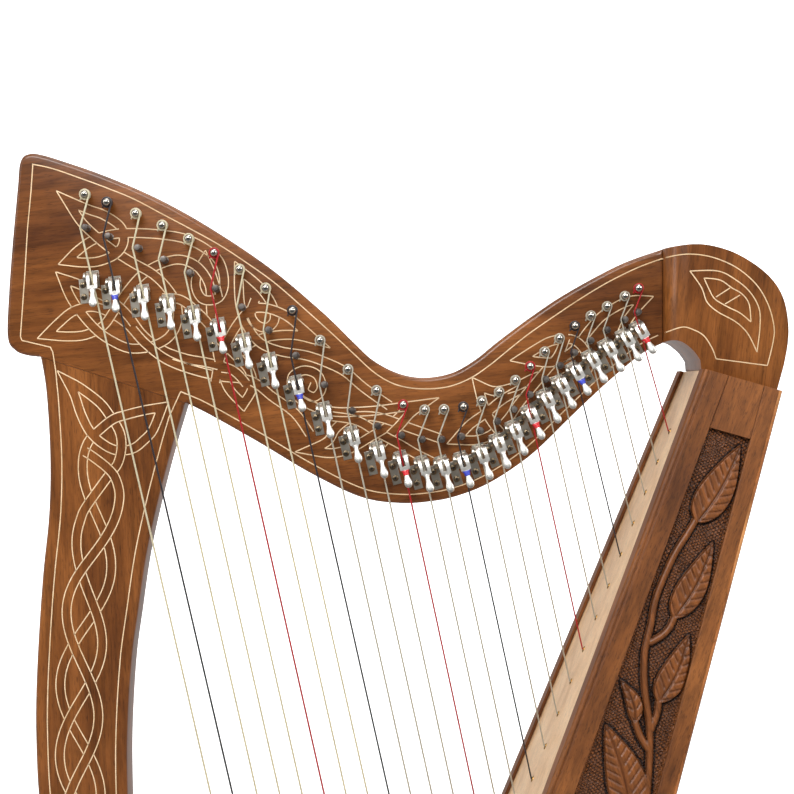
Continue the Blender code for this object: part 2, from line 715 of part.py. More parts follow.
def main():
    clear_scene()
    dowels = joint_dowels()
    lines = bolt_lines()
    neck(dowels)
    pillar(dowels[:2], lines["pillar_bolt"])
    shoulder(dowels[2:], lines["shoulder_bolt"])
    top_block = end_block("top_block", (top_cut(), top_cut(TOP_BLOCK_H)))
    bolt_bore(top_block, *lines["shoulder_bolt"], 0)
    finish(top_block, WALNUT)
    bottom_block = end_block("bottom_block", (bottom_cut(BOTTOM_BLOCK_H), bottom_cut()))
    for name in ("box_bolt_left", "box_bolt_right"):
        bolt_bore(bottom_block, *lines[name], 0)
    finish(bottom_block, WALNUT)
    for side, label in ((-1, "left"), (1, "right")):
        front_rail(side, "front_rail_" + label)
        back_rail(side, "back_rail_" + label)
        side_panel(side, "side_panel_" + label)
    soundboard()
    back_panel()
    for down, name in zip(BRACE_AT, ("brace_upper", "brace_lower")):
        brace(name, down)
    string_band()
    base([lines[name] for name in ("pillar_bolt", "box_bolt_left", "box_bolt_right")])
    feet()
    for name, start, end, radius in dowels:
        finish(smooth_round(rod(name, start, end, radius, 12)), MAPLE, roughness=0.6)
    for name, (start, end) in lines.items():
        bolt(name, start, end, 6.0)
    levers()


main()
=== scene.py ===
"""Looks of the 27-string lever harp: wood, inlay, carving, strings and metal fittings.

Lengths are millimetres in the outlines and lists, and metres in the meshes (MM converts).
The strings lie near the XZ plane, the lever side faces -Y, and the harp stands on Z = 0.
"""

import json
import math

import bmesh
import bpy
import numpy as np
from mathutils import Matrix, Vector


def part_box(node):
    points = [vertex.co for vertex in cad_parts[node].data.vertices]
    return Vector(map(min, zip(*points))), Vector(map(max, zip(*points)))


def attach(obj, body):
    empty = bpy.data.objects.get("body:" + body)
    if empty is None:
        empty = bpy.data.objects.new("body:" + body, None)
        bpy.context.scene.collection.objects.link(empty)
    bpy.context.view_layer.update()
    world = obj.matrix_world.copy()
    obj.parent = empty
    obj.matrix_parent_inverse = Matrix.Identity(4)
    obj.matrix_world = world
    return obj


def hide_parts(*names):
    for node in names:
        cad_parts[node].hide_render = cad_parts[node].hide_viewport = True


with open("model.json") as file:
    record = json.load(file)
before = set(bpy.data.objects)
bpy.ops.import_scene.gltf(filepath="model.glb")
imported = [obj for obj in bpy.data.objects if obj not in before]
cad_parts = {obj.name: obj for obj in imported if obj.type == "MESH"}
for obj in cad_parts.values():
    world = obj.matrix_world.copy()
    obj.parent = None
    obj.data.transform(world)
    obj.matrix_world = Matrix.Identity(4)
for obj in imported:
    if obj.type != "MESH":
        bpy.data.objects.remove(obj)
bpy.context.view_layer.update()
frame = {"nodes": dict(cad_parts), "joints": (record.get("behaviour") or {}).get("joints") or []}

MM = 0.001
HARP = "harp"

# Strings, counted from the longest (0) to the shortest (26), as in the design.
STRINGS = 27
STRING_R = (0.66, 0.48)
STRING_STANDOFF = 9.5
HOLE_FIRST_STEP = 22.32
HOLE_STEP_GROWTH = 0.0854
RED_STRINGS = (5, 12, 19, 26)
DARK_STRINGS = (1, 8, 15, 22)
THICK_STRINGS = 9
COIL_TURNS = 3.6
COIL_STEPS = 14
COIL_PITCH = 2.05

# Neck (curve board), pillar and shoulder, as outlines in X and Z.
NECK_T = 29.0
NECK_ROUND = 3.0
NECK_TOP = ((-254.9, 845), (-253.9, 857), (-251.2, 863), (-246, 865), (-240, 864.4),
            (-228, 861), (-197, 850.3), (-162, 835.3), (-127, 816.1), (-84.7, 787.9),
            (-48.8, 757.8), (-28.4, 738), (-14.2, 724.9), (2.7, 716.1), (20, 713.1),
            (38.8, 716.2), (55.3, 725.2), (71, 737.8), (94.3, 755.2), (118.6, 771.3),
            (153.6, 789.9), (181.3, 799.9))
NECK_LOW = ((181.3, 736.2), (167, 728.6), (144, 709.3), (120.5, 687.2), (97.3, 664.5),
            (79.7, 651), (62.3, 640.5), (44.8, 633.5), (27.3, 629.5), (4, 628),
            (-23, 632.3), (-57, 648.6), (-91, 668.8), (-125, 688), (-141.5, 696.2))
NECK_LEFT = ((-239.5, 727.4), (-248.5, 728.2), (-256.8, 731.6), (-262, 741), (-261, 772),
             (-258.6, 805))
PILLAR_OUT = ((-239.4, 726.7), (-235.7, 703), (-233.2, 660), (-233.9, 621), (-237.8, 582),
              (-240.6, 543), (-242.5, 504), (-242.7, 470), (-240.3, 425), (-232, 370),
              (-216, 300), (-196, 232), (-174.5, 168), (-153, 100), (-141, 42.3))
PILLAR_IN = ((-84, 42.3), (-96, 88), (-117, 145), (-140, 205), (-158.5, 268),
             (-171, 330), (-178.5, 395), (-180.8, 446), (-180.2, 485), (-177.6, 524),
             (-173.7, 553), (-168, 592), (-160, 629), (-150.4, 666), (-141.6, 695.6))
SHOULDER_T = 64.0
SHOULDER_ROUND = 3.0
SHOULDER_END_ROUND = 16.5
SHOULDER_TOP = ((181.6, 800), (199.5, 802), (212.8, 800.8), (228.1, 795.8), (243.4, 786.5),
                (253.8, 776.4), (260, 764.8), (262.8, 750.2), (262.7, 736.9), (260, 721.3))
SHOULDER_ARCH = ((204.2, 724.6), (199.6, 731), (192.5, 736.6), (186.5, 738), (181.6, 736.8))

# Soundbox: planes of the front and the back, and the cut across its top.
FRONT_AT = Vector((188.6, 676.4))
FRONT_DOWN = Vector((-0.3668, -0.9303)).normalized()
FRONT_IN = Vector((-FRONT_DOWN.y, FRONT_DOWN.x))
BACK_AT = Vector((254, 704))
BACK_DOWN = Vector((-73.8, -254)).normalized()
BACK_IN = Vector((BACK_DOWN.y, -BACK_DOWN.x))
TOP_AT = Vector((202.2, 718.6))
TOP_ACROSS = Vector((50.6, -14.4)).normalized()
GAP = 0.3
BOX_BOTTOM = 42.3
HALF_WIDTH = 62.75
HALF_GROWTH = 0.12615
PROUD = 2.5
BOARD_T = 3.0
RAIL_SIDE = 14.0
RAIL_FRONT = 18.0
BACK_RAIL = 12.5
PANEL_RECESS = 3.0
PANEL_T = 4.0
GROOVE = 5.0
TOP_BLOCK_H = 36.0
BOTTOM_BLOCK_H = 30.0
RIB_T = 6.0
RIB_HALF = 12.0
RIB_SPAN = (-8, 644)
BACK_HOLES = (150, 320, 490)
BACK_HOLE_WIDE = 0.42
BACK_HOLE_TALL = 34

# Fittings on the neck.
DRUM_R = 2.9
DRUM_HALF = 3.4
CHEEK = (4.3, 5.9)
PLATE = (4.3, 10.3)
PLATE_T = 0.6
PLATE_Z = (-17, -0.5)
SCREW_Z = (-4.6, -12.6)
SCREW_X = (PLATE[0] + 0.8 + PLATE[1]) / 2
SCREW_R = 2.2
BRIDGE_R = 2.2
TUNING_R = 2.4
TUNING_OUT = 12.0
KEY_OUT = 14.0
KEY_HALF = 2.3
TUNING_LINE = ((-207.9, 836.2), (-173.6, 823.4), (-138, 806.4), (-103.8, 785.9), (-68.3, 758.1),
               (-30.9, 718.6), (6.1, 694.8), (33.6, 691.7), (59, 697.3), (81.6, 711.3),
               (101.2, 730.4), (121.5, 747.7), (143.2, 760.9), (164.4, 773))
BRIDGE_LINE = ((-207.6, 814), (-172.4, 800.4), (-137.5, 783.6), (-102.5, 760.6), (-66.3, 728),
               (-28.2, 690.8), (5, 674.2), (32.3, 671.4), (58.3, 677.3), (80.8, 691.8),
               (102.2, 712), (121.6, 730), (143.5, 745.2), (164.3, 757.2))

# Levers, in their own frame: x along the axle, y away from the neck. The first ones have the
# wider fork: FORK_GAP is half its gap, then half that of the others. Rows of the handle: height,
# half its width and half its depth.
SLOTTED = 14
FORK_GAP = (1.35, 1.15)
ARM_OUT = (3.7, 3.3)
ARM_SIDE = ((-1.6, 2.35), (1, 2.75), (3.4, 2.2), (5.2, 1.1), (6.4, -0.9), (6.7, -4.5),
            (6.9, -8.3), (5.1, -8.3), (4.5, -5.9), (1.6, -2.5), (-1.6, -2.3))
BRIDGE_SIDE = ((5.1, -6), (6.8, -6), (6.9, -8.3), (5.1, -8.3))
HANDLE = ((-6.9, 3.4, 0.9), (-7.8, 3.1, 0.92), (-8.8, 2.4, 0.92), (-9.8, 1.75, 0.9),
          (-10.8, 1.45, 0.92), (-12.2, 1.5, 1), (-13.4, 1.75, 1.05), (-14.6, 2.1, 1.1),
          (-15.8, 2.5, 1.15), (-17, 2.75, 1.15), (-18.2, 2.75, 1.1), (-19.4, 2.3, 0.95),
          (-20.2, 1.5, 0.75), (-20.6, 0.7, 0.5))
HANDLE_OUT = 5.6
HANDLE_LEAN = 0.2
BAND_ROWS = (-8.6, -9, -9.8, -10.8, -11.8, -12.2)
BAND_OUT = 0.45
CHEEK_R = 3.3

# Inlay: thin light lines, single along the edges and in pairs as woven bands.
LINE_W = 0.72
BAND_HALF = 3.0
INLAY_PROUD = 0.05
NECK_BORDER = ((-229, 718.3), (-230.9, 730.4), (-232.5, 733.7), (-251.8, 738.3), (-252.8, 741),
               (-249.9, 781.7), (-248, 814), (-245.7, 838.6), (-244.4, 857.6))
TOP_BORDER = ((-244.9, 857.6), (-230.8, 854.5), (-211.5, 847.8), (-193.1, 841), (-175.7, 833.8),
              (-156.4, 823.6), (-137.5, 813.6), (-118, 802.8), (-97.5, 789.3), (-80.1, 776.7),
              (-60.7, 759.8), (-41.4, 742.4), (-26.9, 728.9), (-15.5, 718.3), (-5, 711.2),
              (6.3, 707), (20.9, 705.5), (36.7, 707), (51.4, 712.6), (64.9, 721.7),
              (77.3, 731.8), (90.8, 742.5), (107.8, 754.3), (124.7, 765.6), (144.4, 777.5),
              (164.7, 787.5), (181, 793.6))
NOTCH = (-144.4, 703.7)
WOVEN = (
    (((-119, 767), (-121, 775), (-124, 784), (-128, 793)),
     ((-128, 793), (-133, 784), (-134, 774), (-129, 766), (-119, 767), (-115, 777), (-118, 791),
      (-127, 800), (-141, 807), (-158, 810), (-177, 811), (-191, 810), (-204, 806), (-214, 799),
      (-221, 792)),
     ((-221, 792), (-210, 791), (-199, 792), (-188, 797), (-183, 805), (-185, 815), (-196, 823),
      (-207, 827), (-221, 833)),
     ((-221, 833), (-212, 819), (-202, 809), (-191, 800), (-177, 791), (-163, 783), (-153, 773),
      (-147, 762), (-147, 750), (-153, 740), (-165, 734), (-179, 733), (-191, 738), (-201, 745),
      (-211, 756), (-219, 768), (-224, 780)),
     ((-224, 780), (-215, 777), (-204, 772), (-191, 765), (-180, 755), (-170, 742), (-157, 732),
      (-141, 726), (-125, 723), (-109, 718), (-100, 709))),
    (((-57, 675), (-67, 689), (-82, 700), (-97, 711), (-118, 714), (-138, 719), (-155, 726),
      (-169, 737), (-180, 749), (-192, 757), (-204, 761), (-217, 758), (-227, 750), (-235, 742)),
     ((-235, 742), (-222, 741), (-209, 742), (-197, 748), (-189, 759), (-180, 772), (-170, 783),
      (-158, 790), (-145, 793), (-133, 788), (-125, 776), (-124, 762), (-123, 749), (-120, 733),
      (-117, 720), (-112, 706), (-102, 695)),
     ((-102, 695), (-96, 706), (-98, 718), (-108, 729), (-118, 739), (-126, 750), (-135, 759),
      (-145, 766), (-157, 767))),
    (((-94, 766), (-97, 756), (-93, 749), (-86, 747), (-81, 752), (-82, 761), (-88, 771),
      (-96, 779), (-105, 786)),
     ((-105, 786), (-105, 774), (-104, 762), (-100, 749), (-91, 737), (-77, 731), (-59, 728),
      (-45, 723), (-33, 717), (-20, 706), (-3, 694))),
    (((-121, 710), (-118, 725), (-113, 737), (-106, 749), (-97, 759), (-86, 760), (-73, 755),
      (-63, 747), (-54, 739)),
     ((-54, 739), (-68, 742), (-84, 741), (-98, 736), (-106, 727))),
    (((-59, 711), (-61, 704), (-54, 700), (-49, 706), (-52, 715), (-61, 718), (-69, 713),
      (-66, 701), (-53, 693), (-40, 690), (-26, 690), (-11, 691), (4, 693), (19, 695)),
     ((19, 695), (11, 689), (4, 681), (-4, 673), (-12, 664))),
    (((31, 672), (11, 679), (-9, 686), (-25, 687), (-33, 684), (-40, 678), (-45, 670),
      (-57, 664)),
     ((-57, 664), (-43, 662), (-30, 665), (-16, 673), (-3, 681), (6, 689))),
    (((-42, 687), (-25, 684), (-11, 676), (4, 668), (14, 662), (26, 656)),),
    (((126, 710), (132, 722), (128, 733), (120, 739), (107, 738), (97, 733), (86, 726)),
     ((86, 726), (97, 724), (109, 724), (122, 732), (131, 744), (141, 755), (154, 763),
      (162, 765.5), (169, 765.5)),
     ((169, 765.5), (164, 760), (158, 752), (154, 743), (150, 732))),
    (((124, 725), (111, 718), (95, 713), (82, 707), (68, 704), (57, 708)),
     ((57, 708), (60, 696), (65, 685), (73, 675), (84, 666))),
    (((85, 705), (73, 698), (62, 689), (51, 681), (42, 671)),
     ((42, 671), (57, 671), (68, 676), (77, 685), (84, 695), (92, 705), (102, 717), (111, 728),
      (116, 740))),
)
PLAIT_AXIS = ((-196.5, 664), (-197.4, 654.8), (-201.5, 605), (-208.2, 557.5), (-212.7, 504),
              (-213, 460), (-211, 425), (-203, 370), (-190, 300), (-171.5, 232),
              (-149, 168), (-136, 130))
PLAIT_HALF = 13.2
PLAIT_PITCH = 148.0
PLAIT_TOP = 664.0
PLAIT_END = 140.0
PLAIT_PHASES = (0.688, 0.35, 0.03)
THIRD_STRAND = ((-209, 663), (-205, 660.5), (-199.5, 656.5), (-194, 652), (-189, 646))
PILLAR_LEAVES = (
    ((-193, 647), (-187, 655), (-184.5, 665), (-185, 674), (-188, 681), (-192, 687), (-199, 696),
     (-212, 706), (-221, 711)),
    ((-221, 711), (-216, 701), (-212, 689), (-206, 677), (-198, 669), (-188, 664), (-177, 665),
     (-169, 671), (-163, 678), (-157, 693)),
    ((-157, 693), (-169, 691), (-181, 688), (-190, 685), (-199, 678), (-206, 671), (-209.5, 663)),
)
SHOULDER_BORDER = ((178.6, 792.5), (184, 794), (197.3, 795.3), (212, 793.3), (228, 786.5),
                   (241.3, 775.3), (249.3, 762), (253.3, 747.3), (252.7, 736.7), (248.9, 721))
SHOULDER_LOW = ((214.7, 725.5), (212, 732.7), (206.7, 740.7), (200, 744.7), (192.7, 746.7),
                (184, 744), (181.8, 743))
SHOULDER_LEAF = (((197.3, 784), (216, 784), (228, 778), (237.3, 770), (243.3, 759.3),
                  (244, 747.3), (242, 730)),
                 ((242, 730), (236, 742), (228, 750), (216, 756.7), (208.7, 763.3),
                  (205, 773), (197.3, 784)))
SHOULDER_INNER = (((206.7, 779.3), (217.3, 778), (225.3, 772.7), (232, 768.7), (236.7, 762),
                   (238, 750)),
                  ((238, 750), (230.7, 756), (222.7, 760), (214, 765.3), (210, 772),
                   (206.7, 779.3)))
SHOULDER_RUNGS = (((224, 772.7), (214.7, 766.7)), ((230.7, 768), (220.7, 762)))

# Carved side panels. Leaves are (base, tip, width on the left, width on the right) in X and Z.
LEAVES = (((196, 619), (227, 668), 12, 9), ((180, 558), (208, 606), 10, 7.5),
          ((169, 505), (191, 547), 9.5, 7.5), ((154, 492), (146, 520), 4.5, 5.5),
          ((150, 432), (136, 492), 11, 13), ((172, 428), (182, 470), 7, 6),
          ((122, 372), (88, 408), 8, 9), ((150, 362), (166, 416), 12, 10),
          ((112, 312), (74, 366), 13, 13), ((136, 296), (156, 352), 12, 11),
          ((88, 256), (46, 300), 11, 12), ((114, 232), (134, 290), 13, 12),
          ((64, 190), (22, 240), 13, 13), ((92, 172), (116, 226), 13, 12),
          ((40, 134), (-6, 176), 12, 12), ((70, 112), (98, 164), 13, 12),
          ((22, 84), (-28, 116), 10, 11))
STEMS = (((195, 620), (190, 612), (182, 600), (174, 584), (168, 569), (165, 554), (161, 538),
          (160, 523), (161, 507), (163, 492), (163, 476), (162, 461), (160, 442), (154, 414),
          (145, 388), (138, 360), (132, 332), (126, 304), (118, 276), (108, 248), (98, 218),
          (88, 190), (78, 162), (66, 134), (52, 106), (36, 82)),
         ((180, 558), (177, 552), (172, 547), (165, 543)), ((169, 505), (168, 498), (164, 488)),
         ((154, 492), (157, 484), (162, 476)), ((150, 432), (154, 425), (156, 416)),
         ((172, 428), (166, 412), (155, 402)), ((122, 372), (130, 366), (139, 364)),
         ((150, 362), (146, 350), (138, 342)), ((112, 312), (120, 306), (126, 302)),
         ((136, 296), (132, 284), (122, 276)), ((88, 256), (98, 252), (108, 248)),
         ((114, 232), (108, 218), (98, 210)), ((64, 190), (76, 190), (86, 186)),
         ((92, 172), (86, 158), (76, 152)), ((40, 134), (54, 134), (66, 132)),
         ((70, 112), (62, 104), (52, 102)), ((22, 84), (30, 78), (36, 80)))
CARVE_STEP = 0.62
LEAF_WIDER = 1.2
LEAF_RISE = 2.2
STEM_HALF = 2.3
GOUGE = 2.2
GOUGE_DEEP = 0.75
OUTLINE_DEEP = 0.85

# Camera and lights, in metres and millimetres of lens.
LENS = 79.44
CAMERA_AT = (0.002, -1.2, 0.7)
BACKDROP_FAR = 3.5
LIGHTS_AIM = (0, 0, 0.62)


# Materials.


def rgb(red, green, blue):
    """Linear colour from the usual 0 to 255 values of a display."""
    found = []
    for value in (red, green, blue):
        c = value / 255
        found.append(c / 12.92 if c <= 0.04045 else ((c + 0.055) / 1.055) ** 2.4)
    return (*found, 1.0)


class Nodes:
    """The node tree of a material or a world, with short calls to add and join nodes."""

    def __init__(self, made, shader="Principled BSDF"):
        self.made = made
        made.use_nodes = True
        self.tree = made.node_tree
        self.shader = self.tree.nodes[shader]

    def add(self, kind, inputs=(), **settings):
        made = self.tree.nodes.new(kind)
        for key, value in settings.items():
            setattr(made, key, value)
        for key, value in dict(inputs).items():
            if isinstance(value, bpy.types.NodeSocket):
                self.tree.links.new(value, made.inputs[key])
            else:
                made.inputs[key].default_value = value
        return made

    def set(self, **values):
        for key, value in values.items():
            socket = self.shader.inputs[key.replace("_", " ")]
            if isinstance(value, bpy.types.NodeSocket):
                self.tree.links.new(value, socket)
            else:
                socket.default_value = value

    def place(self, rotation=(0, 0, 0), scale=(1, 1, 1)):
        """Coordinates in metres, turned and then stretched."""
        coords = self.add("ShaderNodeTexCoord").outputs["Object"]
        turned = self.add("ShaderNodeMapping", {"Vector": coords, "Rotation": rotation})
        return self.add("ShaderNodeMapping", {"Vector": turned.outputs[0], "Scale": scale}).outputs[0]

    def noise(self, vector, scale, detail=4.0, rough=0.55, distortion=0.0):
        made = self.add("ShaderNodeTexNoise", {"Vector": vector, "Scale": scale, "Detail": detail,
                                               "Roughness": rough, "Distortion": distortion})
        return made.outputs["Fac"]

    def ramp(self, value, *stops):
        """Stops are (place, colour or grey)."""
        made = self.add("ShaderNodeValToRGB", {"Fac": value})
        slots = made.color_ramp.elements
        while len(slots) < len(stops):
            slots.new(0.5)
        for slot, (place, colour) in zip(slots, stops):
            slot.position = place
            slot.color = colour if isinstance(colour, tuple) else (colour, colour, colour, 1.0)
        return made.outputs["Color"]

    def mix(self, share, first, second, how="MIX"):
        made = self.add("ShaderNodeMix", data_type="RGBA", blend_type=how)
        for socket, value in ((made.inputs["Factor"], share), (made.inputs[6], first),
                              (made.inputs[7], second)):
            if isinstance(value, bpy.types.NodeSocket):
                self.tree.links.new(value, socket)
            else:
                socket.default_value = value
        return made.outputs[2]

    def math(self, how, first, second=0.0):
        return self.add("ShaderNodeMath", {0: first, 1: second}, operation=how).outputs[0]

    def bump(self, height, strength, distance):
        made = self.add("ShaderNodeBump", {"Height": height, "Strength": strength,
                                           "Distance": distance})
        self.set(Normal=made.outputs[0])


def wood(name, tones, grain, turn=(0, 0, 0), rough=(0.24, 0.4), coat=0.25, figure=1.0, depth=1.0):
    """Straight-grained wood. Tones run dark, middle, light; grain is the axis that fibres follow."""
    make = Nodes(bpy.data.materials.new(name))

    def stretched(by):
        return make.place(turn, tuple(1 if axis == grain else by for axis in "xyz"))

    wide = make.noise(stretched(5), 7.0, 4.0, 0.55, 0.8 * figure)
    streak = make.noise(stretched(12), 14.0, 5.0, 0.65, 0.25)
    fibre = make.noise(stretched(22), 30.0, 4.0, 0.7)
    pore = make.noise(stretched(11), 125.0, 2.0, 0.6)
    base = make.ramp(wide, (0.30, tones[0]), (0.5, tones[1]), (0.72, tones[2]))
    lines = make.ramp(streak, (0.36, 0.50), (0.5, 0.98), (0.64, 1.18))
    base = make.mix(0.5 * depth, base, lines, "MULTIPLY")
    threads = make.ramp(fibre, (0.34, 0.45), (0.5, 1.0), (0.66, 1.22))
    base = make.mix(0.5 * depth, base, threads, "MULTIPLY")
    pits = make.ramp(pore, (0.34, 0.25), (0.43, 1.0))
    base = make.mix(0.55 * depth, base, pits, "MULTIPLY")
    gloss = make.add("ShaderNodeMapRange", {"Value": streak, "To Min": rough[0], "To Max": rough[1]})
    make.set(Base_Color=base, Roughness=gloss.outputs[0], Specular_IOR_Level=0.35,
             Coat_Weight=coat, Coat_Roughness=0.12)
    make.bump(make.math("ADD", pore, make.math("MULTIPLY", fibre, 0.6)), 0.12, 0.0003)
    return make.made


def carved_wood(tones):
    """Dark stained wood, with painted shade in the cuts, pits and low slopes and painted highlight on
    what stands proud. The mesh says how proud each point is.
    """
    make = Nodes(bpy.data.materials.new("walnut_carved"))
    proud = make.add("ShaderNodeAttribute", attribute_name="proud").outputs["Fac"]
    base = make.ramp(proud, (0.02, tones[0]), (0.30, tones[1]), (0.5, tones[2]), (0.72, tones[3]),
                     (1.0, tones[4]))
    streak = make.noise(make.place((0, 0.32, 0), (14, 14, 1)), 12.0, 5.0, 0.65, 0.3)
    base = make.mix(0.55, base, make.ramp(streak, (0.34, 0.45), (0.62, 1.2)), "MULTIPLY")
    fibre = make.noise(make.place((0, 0.32, 0), (30, 30, 2)), 30.0, 4.0, 0.7)
    base = make.mix(0.6, base, make.ramp(fibre, (0.36, 0.4), (0.5, 1.0), (0.62, 1.2)), "MULTIPLY")
    # Painted shade in the stipple pits of the ground: darker at the centres of the cells, where the
    # bump sinks.
    cells = make.add("ShaderNodeTexVoronoi", {"Vector": make.place((0, 0.5, 0), (1.0, 1.0, 1.7)),
                                              "Scale": 640.0})
    pits = make.ramp(cells.outputs["Distance"], (0.1, 0.35), (0.6, 1.0))
    ground = make.ramp(proud, (0.30, 1.0), (0.42, 0.0))
    base = make.mix(make.math("MULTIPLY", ground, 0.75), base, pits, "MULTIPLY")
    make.set(Base_Color=base, Roughness=0.4, Specular_IOR_Level=0.35, Coat_Weight=0.12,
             Coat_Roughness=0.2)
    relief = make.math("MULTIPLY", cells.outputs["Distance"], ground)
    make.bump(make.math("ADD", relief, make.math("MULTIPLY", streak, 0.1)), 1.0, 0.0012)
    return make.made


def metal(name, colour, rough, tarnish=0.12, grain=900.0, dark=None):
    """Plated metal with fine wear in its polish."""
    make = Nodes(bpy.data.materials.new(name))
    speck = make.noise(make.place(), grain, 4.0, 0.6)
    patch = make.noise(make.place(), grain / 9, 3.0, 0.6)
    shade = tuple(c * (1 - tarnish) for c in colour[:3]) + (1.0,)
    base = make.ramp(patch, (0.35, dark or shade), (0.65, colour))
    gloss = make.add("ShaderNodeMapRange", {"Value": speck, "To Min": rough * 0.6,
                                            "To Max": rough * 1.5})
    make.set(Base_Color=base, Metallic=1.0, Roughness=gloss.outputs[0])
    make.bump(speck, 0.05, 0.0001)
    return make.made


def smooth_plastic(name, colour, rough=0.3, through=0.0, scale=260.0):
    """Nylon string, rubber or moulded plastic."""
    make = Nodes(bpy.data.materials.new(name))
    patch = make.noise(make.place(), scale, 4.0, 0.6)
    shade = tuple(c * 0.8 for c in colour[:3]) + (1.0,)
    make.set(Base_Color=make.ramp(patch, (0.3, shade), (0.7, colour)), Roughness=rough,
             Subsurface_Weight=through, Subsurface_Scale=0.001)
    make.bump(patch, 0.04, 0.0001)
    return make.made


def materials():
    """Every material by a short name."""
    walnut = (rgb(86, 45, 15), rgb(119, 68, 27), rgb(146, 88, 40))
    spruce = (rgb(208, 164, 118), rgb(224, 183, 137), rgb(234, 197, 153))
    maple = (rgb(196, 158, 112), rgb(216, 182, 138), rgb(230, 200, 160))
    slope = math.atan2(FRONT_DOWN.x, FRONT_DOWN.y)
    # Carved tones from deepest to most proud: painted shade in the cuts and at the foot of the
    # relief, painted highlight on the ground's crests and the leaves' tops.
    carved = (rgb(40, 17, 6), rgb(150, 88, 42), rgb(44, 20, 7), rgb(100, 54, 20), rgb(126, 72, 31))
    return {
        "neck": wood("walnut_neck", walnut, "x", (0, 0.10, 0)),
        "pillar": wood("walnut_pillar", walnut, "z", (0, 0.04, 0)),
        "shoulder": wood("walnut_shoulder", walnut, "z", (0, -0.12, 0)),
        "rail": wood("walnut_rail", walnut, "z", (0, -0.37, 0), (0.42, 0.58), 0.0),
        "base": wood("walnut_base", walnut, "y"),
        # Painted highlight: a lighter copy of the walnut for the rounded back corners of the box,
        # where they catch the light.
        "highlight_strip": wood("walnut_painted_highlight", (rgb(120, 66, 30), rgb(182, 114, 60), rgb(212, 150, 92)), "z",
                      (0, -0.28, 0), depth=1.4),
        "carved": carved_wood(carved),
        "spruce": wood("spruce", spruce, "z", (0, slope, 0), (0.34, 0.46), 0.15, depth=0.5),
        "maple": wood("maple", maple, "z", (0, -0.37, 0), (0.45, 0.6), 0.0, depth=0.6),
        "inlay": wood("maple_inlay", (rgb(216, 182, 138), rgb(230, 200, 160), rgb(240, 214, 178)),
                      "x", rough=(0.3, 0.45), coat=0.2, depth=0.5),
        "nickel": metal("nickel", rgb(246, 243, 236), 0.36, 0.05),
        # The brackets' nickel is a darker copy of the levers' nickel: painted shade for the plate
        # seen through the fork, used on the whole bracket.
        "bracket": metal("bracket_nickel_painted_shade", rgb(206, 198, 184), 0.34, 0.2, 700.0),
        "screw": metal("screw_steel", rgb(150, 134, 108), 0.3, 0.3),
        "chrome": metal("chrome", rgb(206, 200, 190), 0.14, 0.1),
        "gunmetal": metal("gunmetal", rgb(158, 150, 144), 0.4, 0.3, 1400.0, rgb(92, 84, 80)),
        "shadow": smooth_plastic("slot_shadow", rgb(34, 28, 24), 0.6),
        "brass": metal("brass", rgb(186, 142, 74), 0.25),
        "zinc": metal("zinc", rgb(168, 168, 166), 0.3),
        "cream": smooth_plastic("nylon_cream", rgb(208, 197, 165), 0.32),
        "thin": smooth_plastic("nylon_thin", rgb(180, 172, 154), 0.3),
        "red": smooth_plastic("nylon_red", rgb(176, 26, 34), 0.3, 0.05),
        "dark": smooth_plastic("nylon_dark", rgb(50, 46, 50), 0.28),
        "red_band": smooth_plastic("band_red", rgb(214, 36, 44), 0.32),
        "blue_band": smooth_plastic("band_blue", rgb(52, 66, 190), 0.32),
        "rubber": smooth_plastic("rubber_black", rgb(26, 26, 27), 0.7, scale=500.0),
    }


# Meshes.


def dressed(name, mesh, material, body=HARP, slot=None, replaces=(), angle=35.0):
    """Puts a mesh in the scene with its material and its body. The slot is not used."""
    mesh.shade_smooth()
    mesh.set_sharp_from_angle(angle=math.radians(angle))
    mesh.materials.clear()
    mesh.materials.append(material)
    obj = bpy.data.objects.new(name, mesh)
    bpy.context.scene.collection.objects.link(obj)
    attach(obj, body)
    if replaces:
        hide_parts(*replaces)
    return obj


def tidy(bm):
    """A mesh from a bmesh, with doubled points merged and faces turned outwards."""
    bmesh.ops.remove_doubles(bm, verts=bm.verts, dist=1e-7)
    bmesh.ops.recalc_face_normals(bm, faces=bm.faces)
    mesh = bpy.data.meshes.new("mesh")
    bm.to_mesh(mesh)
    bm.free()
    return mesh


def skin(bm, rings, caps=True):
    """Joins rings of the same length with quads. Points are in metres."""
    rows = [[bm.verts.new(point) for point in ring] for ring in rings]
    count = len(rows[0])
    for low, high in zip(rows, rows[1:]):
        for i in range(count):
            j = (i + 1) % count
            bm.faces.new((low[i], low[j], high[j], high[i]))
    if caps:
        bm.faces.new(rows[0])
        bm.faces.new(rows[-1])


def upright(point, y=0.0):
    """A point of the XZ plane as a point in space."""
    return Vector((point.x, y, point.y))


def curve_through(points, per_span):
    """A Catmull-Rom curve through the points, with per_span steps between two of them."""
    found = []
    last = len(points) - 1
    for i in range(last):
        p0, p1, p2, p3 = (Vector(points[max(0, min(last, i + k))]) for k in (-1, 0, 1, 2))
        for step in range(per_span):
            t = step / per_span
            part = (2 * p1 + (p2 - p0) * t + (2 * p0 - 5 * p1 + 4 * p2 - p3) * t * t
                    + (3 * p1 - p0 - 3 * p2 + p3) * t * t * t)
            found.append(part / 2)
    found.append(Vector(points[last]))
    return found


def bevelled(obj, width, segments=3, angle=30.0):
    """Rounds the sharp edges of a piece or of a CAD object."""
    made = obj.modifiers.new("bevel", "BEVEL")
    made.width = width * MM
    made.segments = segments
    made.limit_method = "ANGLE"
    made.angle_limit = math.radians(angle)
    made.harden_normals = False
    return obj


def cut_with(obj, bm, how):
    """Gives an object a boolean with a shape in a bmesh. Returns the cutter, to delete later."""
    cutter = bpy.data.objects.new("cutter", tidy(bm))
    bpy.context.scene.collection.objects.link(cutter)
    made = obj.modifiers.new("cut", "BOOLEAN")
    made.operation = how
    made.object = cutter
    return cutter


